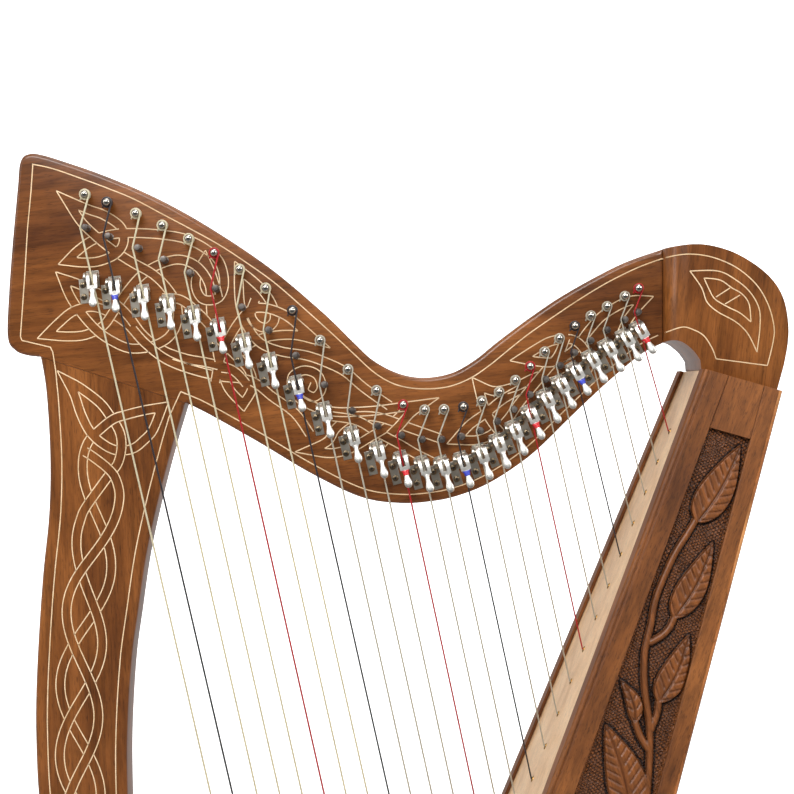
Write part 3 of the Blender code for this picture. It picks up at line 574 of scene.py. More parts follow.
def baked(obj, angle, cutter):
    """Applies an object's modifiers, shades it smooth again and deletes its cutter."""
    bpy.context.view_layer.update()
    graph = bpy.context.evaluated_depsgraph_get()
    mesh = bpy.data.meshes.new_from_object(obj.evaluated_get(graph))
    obj.modifiers.clear()
    obj.data = mesh
    mesh.shade_smooth()
    mesh.set_sharp_from_angle(angle=math.radians(angle))
    bpy.data.objects.remove(cutter, do_unlink=True)


def board(name, outline, half, round_by, material, joints=(), **kept):
    """A flat board across Y with rounded edges. Points of its outline at a joint stay sharp."""
    inner = inset(outline, round_by)
    for i in joints:
        inner[i] = outline[i]
    turns = [math.pi / 2 * k / 5 for k in range(6)] if round_by else [math.pi / 2]
    rings = []
    for turn in turns:
        share, y = math.sin(turn), -half + round_by * (1 - math.cos(turn))
        ring = [a.lerp(b, 1 - share) for a, b in zip(outline, inner)]
        rings.append([(p.x * MM, y * MM, p.y * MM) for p in ring])
    rings += [[(x, -y, z) for x, y, z in ring] for ring in reversed(rings)]
    bm = bmesh.new()
    skin(bm, rings)
    return dressed(name, tidy(bm), material, **kept)


def inset(outline, by):
    """The closed outline moved inwards, point by point."""
    count = len(outline)
    area = sum(outline[i - 1].x * outline[i].y - outline[i].x * outline[i - 1].y
               for i in range(count))
    turn = 1 if area > 0 else -1
    found = []
    for i, point in enumerate(outline):
        before = (point - outline[i - 1]).normalized()
        after = (outline[(i + 1) % count] - point).normalized()
        first, second = Vector((-before.y, before.x)) * turn, Vector((-after.y, after.x)) * turn
        middle = (first + second).normalized()
        found.append(point + middle * (by / max(0.5, middle.dot(first))))
    return found


def turned(bm, profile, at, along, sides=24, start=0.0):
    """A lathe-turned solid in a bmesh: (radius, distance) pairs from a point along a direction."""
    along = Vector(along).normalized()
    side = along.orthogonal().normalized()
    up = along.cross(side)
    turns = [2 * math.pi * k / sides + start for k in range(sides)]
    rings = [[(Vector(at) + along * far + (side * math.cos(a) + up * math.sin(a)) * r) * MM
              for a in turns] for r, far in profile]
    skin(bm, rings)


def tube(bm, path, radius, sides=8):
    """A round tube along a path in millimetres."""
    path = [Vector(p) for p in path]
    rings = []
    side = (path[1] - path[0]).orthogonal().normalized()
    for i, point in enumerate(path):
        along = (path[min(i + 1, len(path) - 1)] - path[max(i - 1, 0)]).normalized()
        side = (side - along * side.dot(along)).normalized()
        up = along.cross(side)
        turns = [2 * math.pi * k / sides for k in range(sides)]
        rings.append([(point + (side * math.cos(a) + up * math.sin(a)) * radius) * MM
                      for a in turns])
    skin(bm, rings)


def block(bm, low, high):
    """A plain block in a bmesh, in millimetres."""
    xs, ys, zs = zip(low, high)
    corners = ((0, 0), (1, 0), (1, 1), (0, 1))
    rings = [[Vector((xs[i], ys[j], z)) for i, j in corners] for z in zs]
    skin(bm, [[p * MM for p in ring] for ring in rings])


# Layout of the strings, as in the design.


def hole_at(string):
    steps = STRINGS - 1 - string
    return FRONT_AT + FRONT_DOWN * (HOLE_FIRST_STEP * steps + HOLE_STEP_GROWTH * steps * steps)


def string_radius(string):
    return STRING_R[0] + (STRING_R[1] - STRING_R[0]) * string / (STRINGS - 1)


def string_colour(string):
    if string in RED_STRINGS:
        return "red"
    if string in DARK_STRINGS:
        return "dark"
    return "cream" if string < THICK_STRINGS else "thin"


TUNING = curve_through(TUNING_LINE, 2)
BRIDGE = curve_through(BRIDGE_LINE, 2)


def lever_frame(string):
    """Hinge of the string's lever in millimetres: x along the axle, y away from the neck."""
    name = f"lever_{string + 1:02d}_flip"
    joint = next(j for j in frame["joints"] if j["name"] == name)
    axle = Vector(joint["axis"]).normalized()
    out = Vector((0.0, -1.0, 0.0))
    rotation = Matrix((axle, out, axle.cross(out))).transposed().to_4x4()
    return Matrix.Translation(Vector(joint["pos_m"]) / MM) @ rotation


# Neck, pillar and shoulder.


def make_neck(mats):
    top, low, left = (curve_through(line, 8) for line in (NECK_TOP, NECK_LOW, NECK_LEFT))
    end = sharp_corner(top, low)
    foot = sharp_corner(low, left)
    outline = top + end + low + foot + left
    first, second = len(top), len(top) + len(end) + len(low)
    joints = list(range(first - 1, first + 3)) + list(range(second - 1, second + 3))
    board("neck_board", outline, NECK_T / 2, NECK_ROUND, mats["neck"], joints,
          slot="walnut_neck", replaces=("neck",))


def sharp_corner(before, after):
    """Two points close to the ends of a joint, so that the rounding stops right at it."""
    a, b = before[-1], after[0]
    step = (b - a).normalized() * 0.4
    return [a + step, b - step]


def make_pillar(mats):
    out, into = curve_through(PILLAR_OUT, 8), curve_through(PILLAR_IN, 8)
    into[-1] += Vector((0.1, 0.35))
    out[0] += Vector((0.1, 0.35))
    foot, top = sharp_corner(out, into), sharp_corner(into, out)
    outline = out + foot + into + top
    first, second = len(out), len(out) + len(foot) + len(into)
    joints = [0] + list(range(first - 1, first + 3)) + list(range(second - 1, second + 2))
    board("pillar_board", outline, NECK_T / 2, NECK_ROUND, mats["pillar"], joints,
          slot="walnut", replaces=("pillar",))


def make_shoulder(mats):
    seat = [TOP_AT + TOP_ACROSS * far for far in (55.0, 2.6)]
    lift = Vector((-TOP_ACROSS.y, TOP_ACROSS.x)) * GAP
    outline = curve_through(SHOULDER_TOP, 8) + [seat[0] + lift, seat[1] + lift]
    outline += curve_through(SHOULDER_ARCH, 8)
    made = board("shoulder", outline, SHOULDER_T / 2, 0.0, mats["shoulder"], slot="walnut",
                 replaces=("shoulder_block",))
    plan = end_plan(SHOULDER_TOP[0][0], SHOULDER_T / 2, SHOULDER_END_ROUND)
    cutter = cut_with(made, plan, "INTERSECT")
    bevelled(made, SHOULDER_ROUND, 5, 55.0)
    baked(made, 40, cutter)


def end_plan(x, y, round_by):
    """The shoulder's outline from above, drawn up: two large rounded corners at the neck."""
    turns = [math.pi / 2 * k / 16 for k in range(17)]
    corner = [(x + round_by * (1 - math.sin(a)), y - round_by * (1 - math.cos(a))) for a in turns]
    plan = [(x + 100, -y - 5), (x + 100, y + 5), (x + round_by, y + 5)] + corner
    plan += [(px, -py) for px, py in reversed(plan[2:])]
    bm = bmesh.new()
    skin(bm, [[(px * MM, py * MM, z * MM) for px, py in plan] for z in (600.0, 900.0)])
    return bm


# Inlay.


def offset_side(path, by):
    """The open path moved sideways."""
    found = []
    for i, point in enumerate(path):
        along = (path[min(i + 1, len(path) - 1)] - path[max(i - 1, 0)]).normalized()
        found.append(point + Vector((-along.y, along.x)) * by)
    return found


def crossing(a, b, c, d):
    """Shares along a-b and c-d where the two segments cross, or None."""
    r, s = b - a, d - c
    cross = r.x * s.y - r.y * s.x
    if abs(cross) < 1e-9:
        return None
    gap = c - a
    t = (gap.x * s.y - gap.y * s.x) / cross
    u = (gap.x * r.y - gap.y * r.x) / cross
    return (t, u)


def meet(first, second):
    """Joins two offset lines at a leaf tip: cut where they cross, or run on until they do."""
    for i in range(len(first) - 2, max(-1, len(first) - 40), -1):
        for j in range(0, min(len(second) - 1, 40)):
            found = crossing(first[i], first[i + 1], second[j], second[j + 1])
            if found and 0 <= found[0] <= 1 and 0 <= found[1] <= 1:
                point = first[i].lerp(first[i + 1], found[0])
                return first[:i + 1] + [point], [point] + second[j + 1:]
    before = (first[-1] - first[-3]).normalized()
    after = (second[0] - second[2]).normalized()
    found = crossing(first[-1], first[-1] + before, second[0], second[0] + after)
    if found is None or not 0 < found[0] < 40:
        return first, second
    point = first[-1] + before * min(found[0], 15.0)
    return first + [point], [point] + second


def band_edges(segments, half):
    """The two edge lines of a band whose smooth segments meet in pointed leaf tips."""
    edges = []
    for by in (half, -half):
        lines = [offset_side(segment, by) for segment in segments]
        for k in range(len(lines) - 1):
            lines[k], lines[k + 1] = meet(lines[k], lines[k + 1])
        edges.append([p for line in lines for p in line])
    return edges


def spaced(points, step=0.8):
    """The same line with points at even distances."""
    found = [points[0]]
    left = step
    for a, b in zip(points, points[1:]):
        length = (b - a).length
        at = left
        while at <= length and length > 0:
            found.append(a.lerp(b, at / length))
            at += step
        left = at - length
    if (points[-1] - found[-1]).length < step / 2 and len(found) > 2:
        found.pop()
    found.append(points[-1])
    return found


def weave(bands, first):
    """Says for each crossing of the bands which one passes over, alternating along a band."""
    crossings = []
    flat = [np.array([(p.x, p.y) for segment in band for p in segment]) for band in bands]
    for i in range(len(flat)):
        for j in range(i, len(flat)):
            crossings += [(i, a, j, b) for a, b in crossed(flat[i], flat[j], i == j)]
    order = {}
    for k, (i, a, j, b) in enumerate(crossings):
        order.setdefault(i, []).append((a, k, 0))
        order.setdefault(j, []).append((b, k, 1))
    over = {}
    for start in sorted(order):
        todo = [start]
        seen = set()
        while todo:
            band = todo.pop()
            if band in seen:
                continue
            seen.add(band)
            row = sorted(order[band])
            known = [(n, over[k] == side) for n, (_, k, side) in enumerate(row) if k in over]
            base = (known[0][0] + (0 if known[0][1] else 1)) % 2 if known else first
            for n, (_, k, side) in enumerate(row):
                if k not in over:
                    over[k] = side if n % 2 == base else 1 - side
                i, _, j, _ = crossings[k]
                todo += [i, j]
    return crossings, over, flat


def crossed(p, q, same):
    """Index pairs at which two polylines cross, found on the whole grid of their steps."""
    a, b = p[:-1], p[1:]
    c, d = q[:-1], q[1:]
    r, s = (b - a)[:, None, :], (d - c)[None, :, :]
    gap = c[None, :, :] - a[:, None, :]
    cross = r[..., 0] * s[..., 1] - r[..., 1] * s[..., 0]
    level = np.abs(cross) < 1e-9
    cross[level] = 1.0
    t = (gap[..., 0] * s[..., 1] - gap[..., 1] * s[..., 0]) / cross
    u = (gap[..., 0] * r[..., 1] - gap[..., 1] * r[..., 0]) / cross
    hits = (t >= 0) & (t < 1) & (u >= 0) & (u < 1) & ~level
    found = []
    for i, j in zip(*np.nonzero(hits)):
        if same and j - i < 12:
            continue
        found.append((int(i), int(j)))
    return found


def woven_lines(bands, first=0, half=BAND_HALF):
    """Edge lines of bands that pass over and under each other."""
    crossings, over, flat = weave(bands, first)
    lines = []
    for index, band in enumerate(bands):
        covers = []
        for k, (i, a, j, b) in enumerate(crossings):
            if i == index and over[k] == 1:
                covers.append(flat[j][max(0, b - 16):b + 17])
            if j == index and over[k] == 0:
                covers.append(flat[i][max(0, a - 16):a + 17])
        for edge in band_edges(band, half):
            lines += visible_runs(spaced(edge), covers, half)
    return lines


def visible_runs(line, covers, half):
    """The stretches of a line that no covering band hides."""
    points = np.array([(p.x, p.y) for p in line])
    shown = np.ones(len(points), bool)
    for cover in covers:
        a, b = cover[:-1], cover[1:]
        step = b - a
        length = np.maximum((step ** 2).sum(1), 1e-9)
        t = ((points[:, None, :] - a[None]) * step[None]).sum(2) / length
        near = a[None] + np.clip(t, 0, 1)[..., None] * step[None]
        gap = np.sqrt(((points[:, None, :] - near) ** 2).sum(2)).min(1)
        shown &= gap > half - 0.35
    runs, run = [], []
    for point, keep in zip(line, shown):
        if keep:
            run.append(point)
        elif run:
            runs.append(run)
            run = []
    if run:
        runs.append(run)
    return [run for run in runs if len(run) > 2]


def ribbon(bm, line, half, out, width=LINE_W):
    """A thin strip of inlay along a line on a face across Y, at a distance that depends on X."""
    left, right = offset_side(line, width / 2), offset_side(line, -width / 2)
    rings = []
    for a, b in zip(left, right):
        rings.append([(p.x * MM, out * (half(p.x) + by) * MM, p.y * MM)
                      for p, by in ((a, -0.5), (a, INLAY_PROUD), (b, INLAY_PROUD), (b, -0.5))])
    skin(bm, rings)


def inlay(name, lines, half, material, sides=(-1, 1)):
    """The same lines of inlay on the front and on the back of a board."""
    for side in sides:
        bm = bmesh.new()
        for line in lines:
            ribbon(bm, line, half, side)
        label = name + ("_front" if side < 0 else "_back")
        dressed(label, tidy(bm), material, slot="walnut_neck")


def board_half(_x):
    """Half the thickness of neck and pillar, the same at every X."""
    return NECK_T / 2


def shoulder_half(x):
    """Half the shoulder's thickness, which falls off at its rounded end."""
    short = min(max(SHOULDER_END_ROUND - (x - SHOULDER_TOP[0][0]), 0.0), SHOULDER_END_ROUND)
    return SHOULDER_T / 2 - SHOULDER_END_ROUND + math.sqrt(SHOULDER_END_ROUND ** 2 - short ** 2)


def smooth_band(segments, per_span=7):
    return [spaced(curve_through(segment, per_span), 1.0) for segment in segments]


def along_edge(points, by, trim=(0, 0)):
    """A border line at a distance inside a stretch of outline."""
    line = offset_side(spaced(curve_through(points, 8), 2.0), by)
    return line[trim[0]:len(line) - trim[1]]


def make_neck_inlay(mats):
    left = curve_through(NECK_BORDER, 1)
    top = curve_through(TOP_BORDER, 5)
    low = along_edge(NECK_LOW, -6.2, (0, 4))
    lines = [spaced(left + top), spaced(low + [Vector(NOTCH)])]
    lines += woven_lines([smooth_band(band) for band in WOVEN])
    inlay("neck_inlay", lines, board_half, mats["inlay"])


def plait_strand(phase, top):
    """One of the three strands down the pillar, swinging from side to side of an axis."""
    axis = spaced(curve_through(PLAIT_AXIS, 10), 1.0)
    found = []
    for i, point in enumerate(axis):
        if not PLAIT_END <= point.y <= top:
            continue
        along = (axis[min(i + 1, len(axis) - 1)] - axis[max(i - 1, 0)]).normalized()
        swing = math.sin(2 * math.pi * ((PLAIT_TOP - point.y) / PLAIT_PITCH + phase))
        found.append(point + Vector((-along.y, along.x)) * PLAIT_HALF * swing)
    return found


def make_pillar_inlay(mats):
    """Two strands rise into the two leaves at the top, and the third starts under them."""
    left = [Vector((-229.0, 718.3))] + along_edge(PILLAR_OUT[1:], 8.3, (2, 6))
    right = along_edge(PILLAR_IN, 7.5, (6, 6))
    down, up, third = (plait_strand(phase, top)
                       for phase, top in zip(PLAIT_PHASES, (655.0, 640.0, 638.0)))
    first, second, last = (list(leaf) for leaf in PILLAR_LEAVES)
    first = [tuple(p) for p in up[::-9]][:-1] + first
    last += [tuple(p) for p in down[::9]]
    third = list(THIRD_STRAND) + [tuple(p) for p in third[::9]]
    bands = [smooth_band((first, second, last)), smooth_band((third,))]
    lines = [spaced(left), spaced(right + [Vector(NOTCH)])] + woven_lines(bands)
    inlay("pillar_inlay", lines, board_half, mats["inlay"])


def make_shoulder_inlay(mats):
    lines = [curve_through(SHOULDER_BORDER, 6) + curve_through(SHOULDER_LOW, 6)]
    for leaf in (SHOULDER_LEAF, SHOULDER_INNER):
        lines.append([p for segment in leaf for p in curve_through(segment, 6)])
    lines += [[Vector(a), Vector(a).lerp(Vector(b), 0.5), Vector(b)] for a, b in SHOULDER_RUNGS]
    inlay("shoulder_inlay", [spaced(line) for line in lines], shoulder_half, mats["inlay"])


# Soundbox.


def half_width(point):
    return HALF_WIDTH + HALF_GROWTH * (point - FRONT_AT).dot(FRONT_DOWN)


def cross(at, along, other_at, other_along):
    """Where two lines in X and Z meet."""
    normal = Vector((-other_along.y, other_along.x))
    return at + along * ((other_at - at).dot(normal) / along.dot(normal))


def box_point(face, offset, cut):
    """Where a line down the box, at an offset into it from its front or back, meets an end cut."""
    if face == "front":
        return cross(FRONT_AT + FRONT_IN * offset, FRONT_DOWN, *cut)
    return cross(BACK_AT + BACK_IN * offset, BACK_DOWN, *cut)


def box_corner(face, offset, side, inset_by, cut):
    """A point on a member of the box, in metres: face, offset into the box, side and end cut."""
    point = box_point(face, offset, cut)
    return (point.x * MM, side * (half_width(point) - inset_by) * MM, point.y * MM)


def top_cut(down=0.0):
    return (TOP_AT + Vector((TOP_ACROSS.y, -TOP_ACROSS.x)) * down, TOP_ACROSS)


def bottom_cut(up=0.0):
    return (Vector((0.0, BOX_BOTTOM + up)), Vector((1.0, 0.0)))


def box_member(name, profile, cuts, material, **kept):
    """A member that runs down the box. Its profile lists (face, offset, side, inset)."""
    bm = bmesh.new()
    skin(bm, [[box_corner(*corner, cut) for corner in profile] for cut in cuts])
    return dressed(name, tidy(bm), material, **kept)


def rounded_corner(radius, steps=8):
    """(offset, inset) pairs that round a member's outer corner."""
    turns = [math.pi / 2 * k / steps for k in range(steps + 1)]
    return [(radius * (1 - math.cos(a)), radius * (1 - math.sin(a))) for a in turns]


def make_rails(mats):
    near, far = PANEL_RECESS, PANEL_RECESS + PANEL_T + 2 * GAP
    front = [(off - PROUD, inset_by) for off, inset_by in rounded_corner(2.4)]
    front += [(0.5, 0.0), (0.9, 0.8), (1.5, 0.9), (2.1, 0.0)]
    front += [(RAIL_SIDE, 0.0), (RAIL_SIDE, near), (RAIL_SIDE - GROOVE, near),
              (RAIL_SIDE - GROOVE, far), (RAIL_SIDE, far), (RAIL_SIDE, RAIL_FRONT),
              (BOARD_T + GAP, RAIL_FRONT), (BOARD_T + GAP, RAIL_FRONT - GROOVE),
              (-GAP, RAIL_FRONT - GROOVE), (-GAP, RAIL_FRONT), (-PROUD, RAIL_FRONT)]
    back = rounded_corner(2.6)
    back += [(BACK_RAIL, 0.0), (BACK_RAIL, near), (BACK_RAIL - GROOVE, near),
             (BACK_RAIL - GROOVE, far), (BACK_RAIL, far), (BACK_RAIL, 16.0),
             (5.3, 16.0), (5.3, 10.7), (1.7, 10.7), (1.7, 16.0), (0.0, 16.0)]
    cuts = (top_cut(), bottom_cut())
    for side, label in ((-1, "left"), (1, "right")):
        for face, outline in (("front", front), ("back", back)):
            profile = [(face, off, side, inset_by) for off, inset_by in outline]
            made = box_member(f"{face}_rail_{label}_wood", profile, cuts, mats["rail"],
                              slot="walnut", replaces=(f"{face}_rail_{label}",))
            bevelled(made, 0.5, 2, 40.0)


def make_corner_highlights(mats):
    """Strips on the outer back corners of the back rails in lighter walnut: a painted highlight where
    the rounded corners catch the light.
    """
    profile = [(0.0, 3.4), (-0.12, 2.6), (0.5, 0.9), (1.3, 0.1), (2.4, -0.12), (2.4, 0.6),
               (0.8, 1.6), (0.8, 3.4)]
    for side, label in ((-1, "left"), (1, "right")):
        corners = [("back", off, side, inset_by) for off, inset_by in profile]
        box_member(f"edge_strip_{label}", corners, (top_cut(), bottom_cut()), mats["highlight_strip"],
                   slot="walnut", angle=50.0)


def make_back_panel(mats):
    """The back with its three oval openings, their edges eased."""
    profile = (("back", 2.0, -1, 11.0), ("back", 5.0, -1, 11.0),
               ("back", 5.0, 1, 11.0), ("back", 2.0, 1, 11.0))
    panel = box_member("back_board", profile, (top_cut(), bottom_cut()), mats["rail"],
                       slot="walnut", replaces=("back_panel",))
    across = Vector((0.0, 1.0, 0.0))
    along = upright(BACK_DOWN)
    into = upright(BACK_IN)
    bm = bmesh.new()
    for down in BACK_HOLES:
        at = BACK_AT + BACK_DOWN * down
        centre = upright(at)
        wide = BACK_HOLE_WIDE * half_width(at)
        turns = [2 * math.pi * k / 64 for k in range(64)]
        oval = [across * wide * math.cos(a) + along * BACK_HOLE_TALL * math.sin(a) for a in turns]
        skin(bm, [[(centre + into * depth + p) * MM for p in oval] for depth in (-4, 11)])
    cutter = cut_with(panel, bm, "DIFFERENCE")
    bevelled(panel, 0.8, 3, 40.0)
    baked(panel, 25, cutter)


# Carving.


def leaf_height(x, z, leaf):
    """Height of one leaf above the ground, with a midrib and side veins cut into it."""
    base, tip, left, right = (np.array(v, float) for v in leaf)
    left, right = left * LEAF_WIDER, right * LEAF_WIDER
    span = tip - base
    length = np.hypot(*span)
    span = span / length
    u = ((x - base[0]) * span[0] + (z - base[1]) * span[1]) / length
    v = (x - base[0]) * span[1] - (z - base[1]) * span[0]
    bend = 2.2 * np.sin(np.clip(u, 0, 1) * math.pi * 1.2)
    v = v - bend
    width = np.where(v > 0, right, left)
    t = np.clip(u, 0, 1)
    edge = width * np.sin(math.pi * t ** 0.72) ** 0.8 * (1 - 0.25 * t)
    inside = np.clip((edge - np.abs(v)) / 0.9, 0, 1)
    share = np.abs(v) / np.maximum(edge, 0.1)
    dome = LEAF_RISE + 0.5 * np.cos(np.clip(share, 0, 1) * math.pi / 2) + 0.25 * share
    rib = np.exp(-(v / 0.85) ** 2)
    slant = u * length - np.abs(v) * 0.9
    vein = np.exp(-(((slant / 6.2 + 0.25) % 1.0 - 0.5) * 6.2 / 0.8) ** 2)
    vein *= np.clip((share - 0.12) * 6, 0, 1) * np.clip((0.95 - share) * 8, 0, 1)
    height = dome - 1.3 * rib - 1.0 * vein
    return np.where((u > 0) & (u < 1), inside * np.maximum(height, 0.3), 0.0)


def stem_height(x, z, points):
    """Half-round stem along a smooth line, slimmer towards its start."""
    path = curve_through(points, 4)
    best = np.full(x.shape, 1e9)
    for a, b in zip(path, path[1:]):
        step = b - a
        t = ((x - a.x) * step.x + (z - a.y) * step.y) / max(step.length_squared, 1e-9)
        t = np.clip(t, 0, 1)
        best = np.minimum(best, np.hypot(x - a.x - t * step.x, z - a.y - t * step.y))
    share = np.clip(best / STEM_HALF, 0, 1)
    return LEAF_RISE * 1.15 * np.sqrt(1 - share ** 2)


def gouge_height(x, z):
    """Rows of small gouge cuts that cover the ground."""
    warp = 0.9 * np.sin(x / 7.3 + z / 11.1) + 0.7 * np.sin(z / 5.1 - x / 8.7)
    a = (x * 0.94 + z * 0.34 + warp) / GOUGE
    b = (z * 0.94 - x * 0.34 + 0.8 * warp) / (GOUGE * 0.8)
    row = np.floor(b)
    phase = (row * 0.37) % 1.0
    cut = np.abs(np.sin(math.pi * (a + phase))) * np.abs(np.sin(math.pi * b))
    return GOUGE_DEEP * (cut - 1)


def make_panels(mats):
    """Side panels carved with a leafy stem in low relief over a gouged ground."""
    front, back = RAIL_SIDE - GROOVE + GAP, BACK_RAIL - GROOVE + GAP
    cuts = (top_cut(TOP_BLOCK_H + GAP), bottom_cut(BOTTOM_BLOCK_H + GAP))
    corners = {}
    for face, off in (("front", front), ("back", back)):
        for k, cut in enumerate(cuts):
            corners[face, k] = box_point(face, off, cut)
    down = (corners["front", 1] - corners["front", 0]).length
    wide = (corners["front", 1] - corners["back", 1]).length
    rows, cols = int(down / CARVE_STEP), int(wide * 0.62 / CARVE_STEP)
    t, s = np.meshgrid(np.linspace(0, 1, rows), np.linspace(0, 1, cols), indexing="ij")
    xz = []
    for axis in range(2):
        left = corners["front", 0][axis] * (1 - t) + corners["front", 1][axis] * t
        right = corners["back", 0][axis] * (1 - t) + corners["back", 1][axis] * t
        xz.append(left * (1 - s) + right * s)
    x, z = xz
    height = np.zeros(x.shape)
    for points in STEMS:
        height = np.maximum(height, stem_height(x, z, points))
    for leaf in LEAVES:
        height = np.maximum(height, leaf_height(x, z, leaf))
    raised = height > 0.4
    near = raised.copy()
    for axis, by in ((0, 1), (0, -1), (1, 1), (1, -1)) * 2:
        near |= np.roll(near, by, axis)
    ground = np.clip(1 - height / 0.4, 0, 1)
    height = np.where(near & ~raised, -OUTLINE_DEEP, height + ground * gouge_height(x, z))
    rim = np.clip(np.minimum.reduce((s, 1 - s)) * wide * 0.62 / 4.4 - 0.9, 0, 1)
    height *= rim
    depth = ((x - FRONT_AT.x) * FRONT_DOWN.x + (z - FRONT_AT.y) * FRONT_DOWN.y) * HALF_GROWTH
    surface = HALF_WIDTH + depth - PANEL_RECESS - GAP - 0.05
    for side, label in ((-1, "left"), (1, "right")):
        carved_panel(label, side, x, z, surface, height, mats["carved"])


def carved_panel(label, side, x, z, surface, height, material):
    """One panel from its grid of heights, closed at its edges and its back."""
    rows, cols = x.shape
    outer = np.stack((x, side * (surface + height), z), -1).reshape(-1, 3) * MM
    index = np.arange(rows * cols).reshape(rows, cols)
    quads = np.stack((index[:-1, :-1], index[1:, :-1], index[1:, 1:], index[:-1, 1:]), -1)
    quads = quads.reshape(-1, 4)
    edge = np.concatenate((index[0, :-1], index[:-1, -1], index[-1, :0:-1], index[:0:-1, 0]))
    inner = outer[edge].copy()
    inner[:, 1] = side * (surface.reshape(-1)[edge] - PANEL_T + 0.1) * MM
    points = np.concatenate((outer, inner))
    count = len(edge)
    far = np.arange(count) + rows * cols
    sides = np.stack((edge, np.roll(edge, -1), np.roll(far, -1), far), -1)
    faces = quads.tolist() + sides.tolist() + [far[::-1].tolist()]
    if side > 0:
        faces = [face[::-1] for face in faces]
    mesh = bpy.data.meshes.new("side_panel_" + label)
    mesh.from_pydata(points.tolist(), [], faces)
    # How proud each point is drives the painted shade and painted highlight of the carved wood; below
    # the ground it darkens faster.
    proud = np.full(len(points), 0.3, np.float32)
    proud[:rows * cols] = np.clip(0.3 + height.reshape(-1) * 0.27, 0, 1)
    low = height.reshape(-1) < 0
    proud[:rows * cols][low] = np.clip(0.3 + height.reshape(-1)[low] * 0.38, 0, 1)
    layer = mesh.attributes.new("proud", "FLOAT", "POINT")
    layer.data.foreach_set("value", proud)
    dressed(f"carved_panel_{label}", mesh, material, slot="walnut_carved",
            replaces=(f"side_panel_{label}",), angle=60.0)


def make_rib(mats):
    bm = bmesh.new()
    low, high = BOARD_T + GAP, BOARD_T + GAP + RIB_T
    rings = []
    for down in RIB_SPAN:
        at = FRONT_AT + FRONT_DOWN * down
        corners = ((low, -RIB_HALF), (low, RIB_HALF), (high, RIB_HALF - 3), (high, -RIB_HALF + 3))
        spots = [(at + FRONT_IN * off, y) for off, y in corners]
        rings.append([(spot.x * MM, y * MM, spot.y * MM) for spot, y in spots])
    skin(bm, rings)
    made = dressed("string_rib", tidy(bm), mats["maple"], slot="maple", replaces=("string_band",))
    bevelled(made, 0.8, 2)


# Strings and fittings.


def wound_path(string):
    """The string's whole route: toggle inside the box, bridge pin, turns on the tuning pin, tail."""
    radius = string_radius(string)
    plane = -NECK_T / 2 - STRING_STANDOFF
    tuning = TUNING[string]
    inside = upright(hole_at(string) + FRONT_IN * (BOARD_T + RIB_T + 1.2))
    at_hole = upright(hole_at(string) - FRONT_IN * 0.8)
    bend = upright(BRIDGE[string], plane) - Vector((BRIDGE_R + radius + 0.25, 0.0, 0.0))
    coil = TUNING_R + radius + 0.1
    top = upright(tuning, plane) + Vector((coil, 0.0, 0.0))
    down = (at_hole - bend).normalized()
    up = (top - bend).normalized()
    path = [inside, at_hole.lerp(inside, 0.3), at_hole, bend + down * 2.0,
            bend + down * 0.7 + Vector((-0.08, 0, 0)), bend + up * 0.7, bend + up * 2]
    for k in range(int(COIL_TURNS * COIL_STEPS) + 1):
        angle = 2 * math.pi * k / COIL_STEPS
        y = plane + COIL_PITCH * radius * k / COIL_STEPS
        path.append(upright(tuning, y) + Vector((math.cos(angle), 0.0, math.sin(angle))) * coil)
    last = path[-1]
    side = (last - path[-2]).normalized()
    tail = ((1.6, Vector((-0.5, -0.3, 0.5))), (3.4, Vector((-1.4, -0.9, 1.2))))
    return path + [last + side * far + curl for far, curl in tail]


def make_strings(mats):
    for string in range(STRINGS):
        bm = bmesh.new()
        tube(bm, wound_path(string), string_radius(string))
        dressed(f"string_{string + 1:02d}", tidy(bm), mats[string_colour(string)], slot="string",
                angle=60.0)
        inside = hole_at(string) + FRONT_IN * (BOARD_T + RIB_T + 1.6)
        bm = bmesh.new()
        at = Vector((inside.x, -3.5, inside.y))
        turned(bm, ((0.7, 0.0), (1.0, 0.4), (1.0, 6.6), (0.7, 7.0)), at, (0, 1, 0), 12)
        dressed(f"string_toggle_{string + 1:02d}", tidy(bm), mats["maple"], slot="maple")


def make_pins(mats):
    """Domed tuning pins with square ends for the key behind, and bridge pins."""
    face = -NECK_T / 2
    out = (0, -1, 0)
    dome = [(2.55 * math.cos(a), TUNING_OUT - 1.6 + 1.9 * math.sin(a))
            for a in (math.pi / 2 * k / 6 for k in range(6))]
    shank = [(TUNING_R, -1.0), (TUNING_R, TUNING_OUT - 3.2), (2.55, TUNING_OUT - 2.9)] + dome
    shank += [(0.35, TUNING_OUT + 0.29)]
    bridge = [(2.5, -0.5), (2.5, 0.5), (2.05, 0.8), (2.05, 6.6), (2.35, 7.4), (2.3, 8.4),
              (1.85, 8.9), (1.75, STRING_STANDOFF), (1.8, 10.1), (1.95, 10.5), (2.0, 10.8),
              (1.9, 11.05), (0.9, 11.15)]
    square = [(KEY_HALF * 1.16, -1.0), (KEY_HALF * 1.16, KEY_OUT - 2.6),
              (KEY_HALF * 1.06, KEY_OUT - 0.5), (KEY_HALF * 0.86, KEY_OUT)]
    for string in range(STRINGS):
        tuning, spot = TUNING[string], BRIDGE[string]
        bm = bmesh.new()
        turned(bm, shank, (tuning.x, face, tuning.y), out)
        turned(bm, ((2.9, -0.6), (2.9, 0.5), (2.6, 0.8), (2.45, 0.8)), (tuning.x, -face, tuning.y),
               (0, 1, 0))
        turned(bm, square, (tuning.x, -face, tuning.y), (0, 1, 0), 4, math.pi / 4)
        dressed(f"tuning_pin_{string + 1:02d}", tidy(bm), mats["chrome"], slot="steel_bolt",
                angle=28.0)
        bm = bmesh.new()
        turned(bm, bridge, (spot.x, face, spot.y), out, 20)
        dressed(f"bridge_pin_{string + 1:02d}", tidy(bm), mats["gunmetal"], slot="steel_bolt")


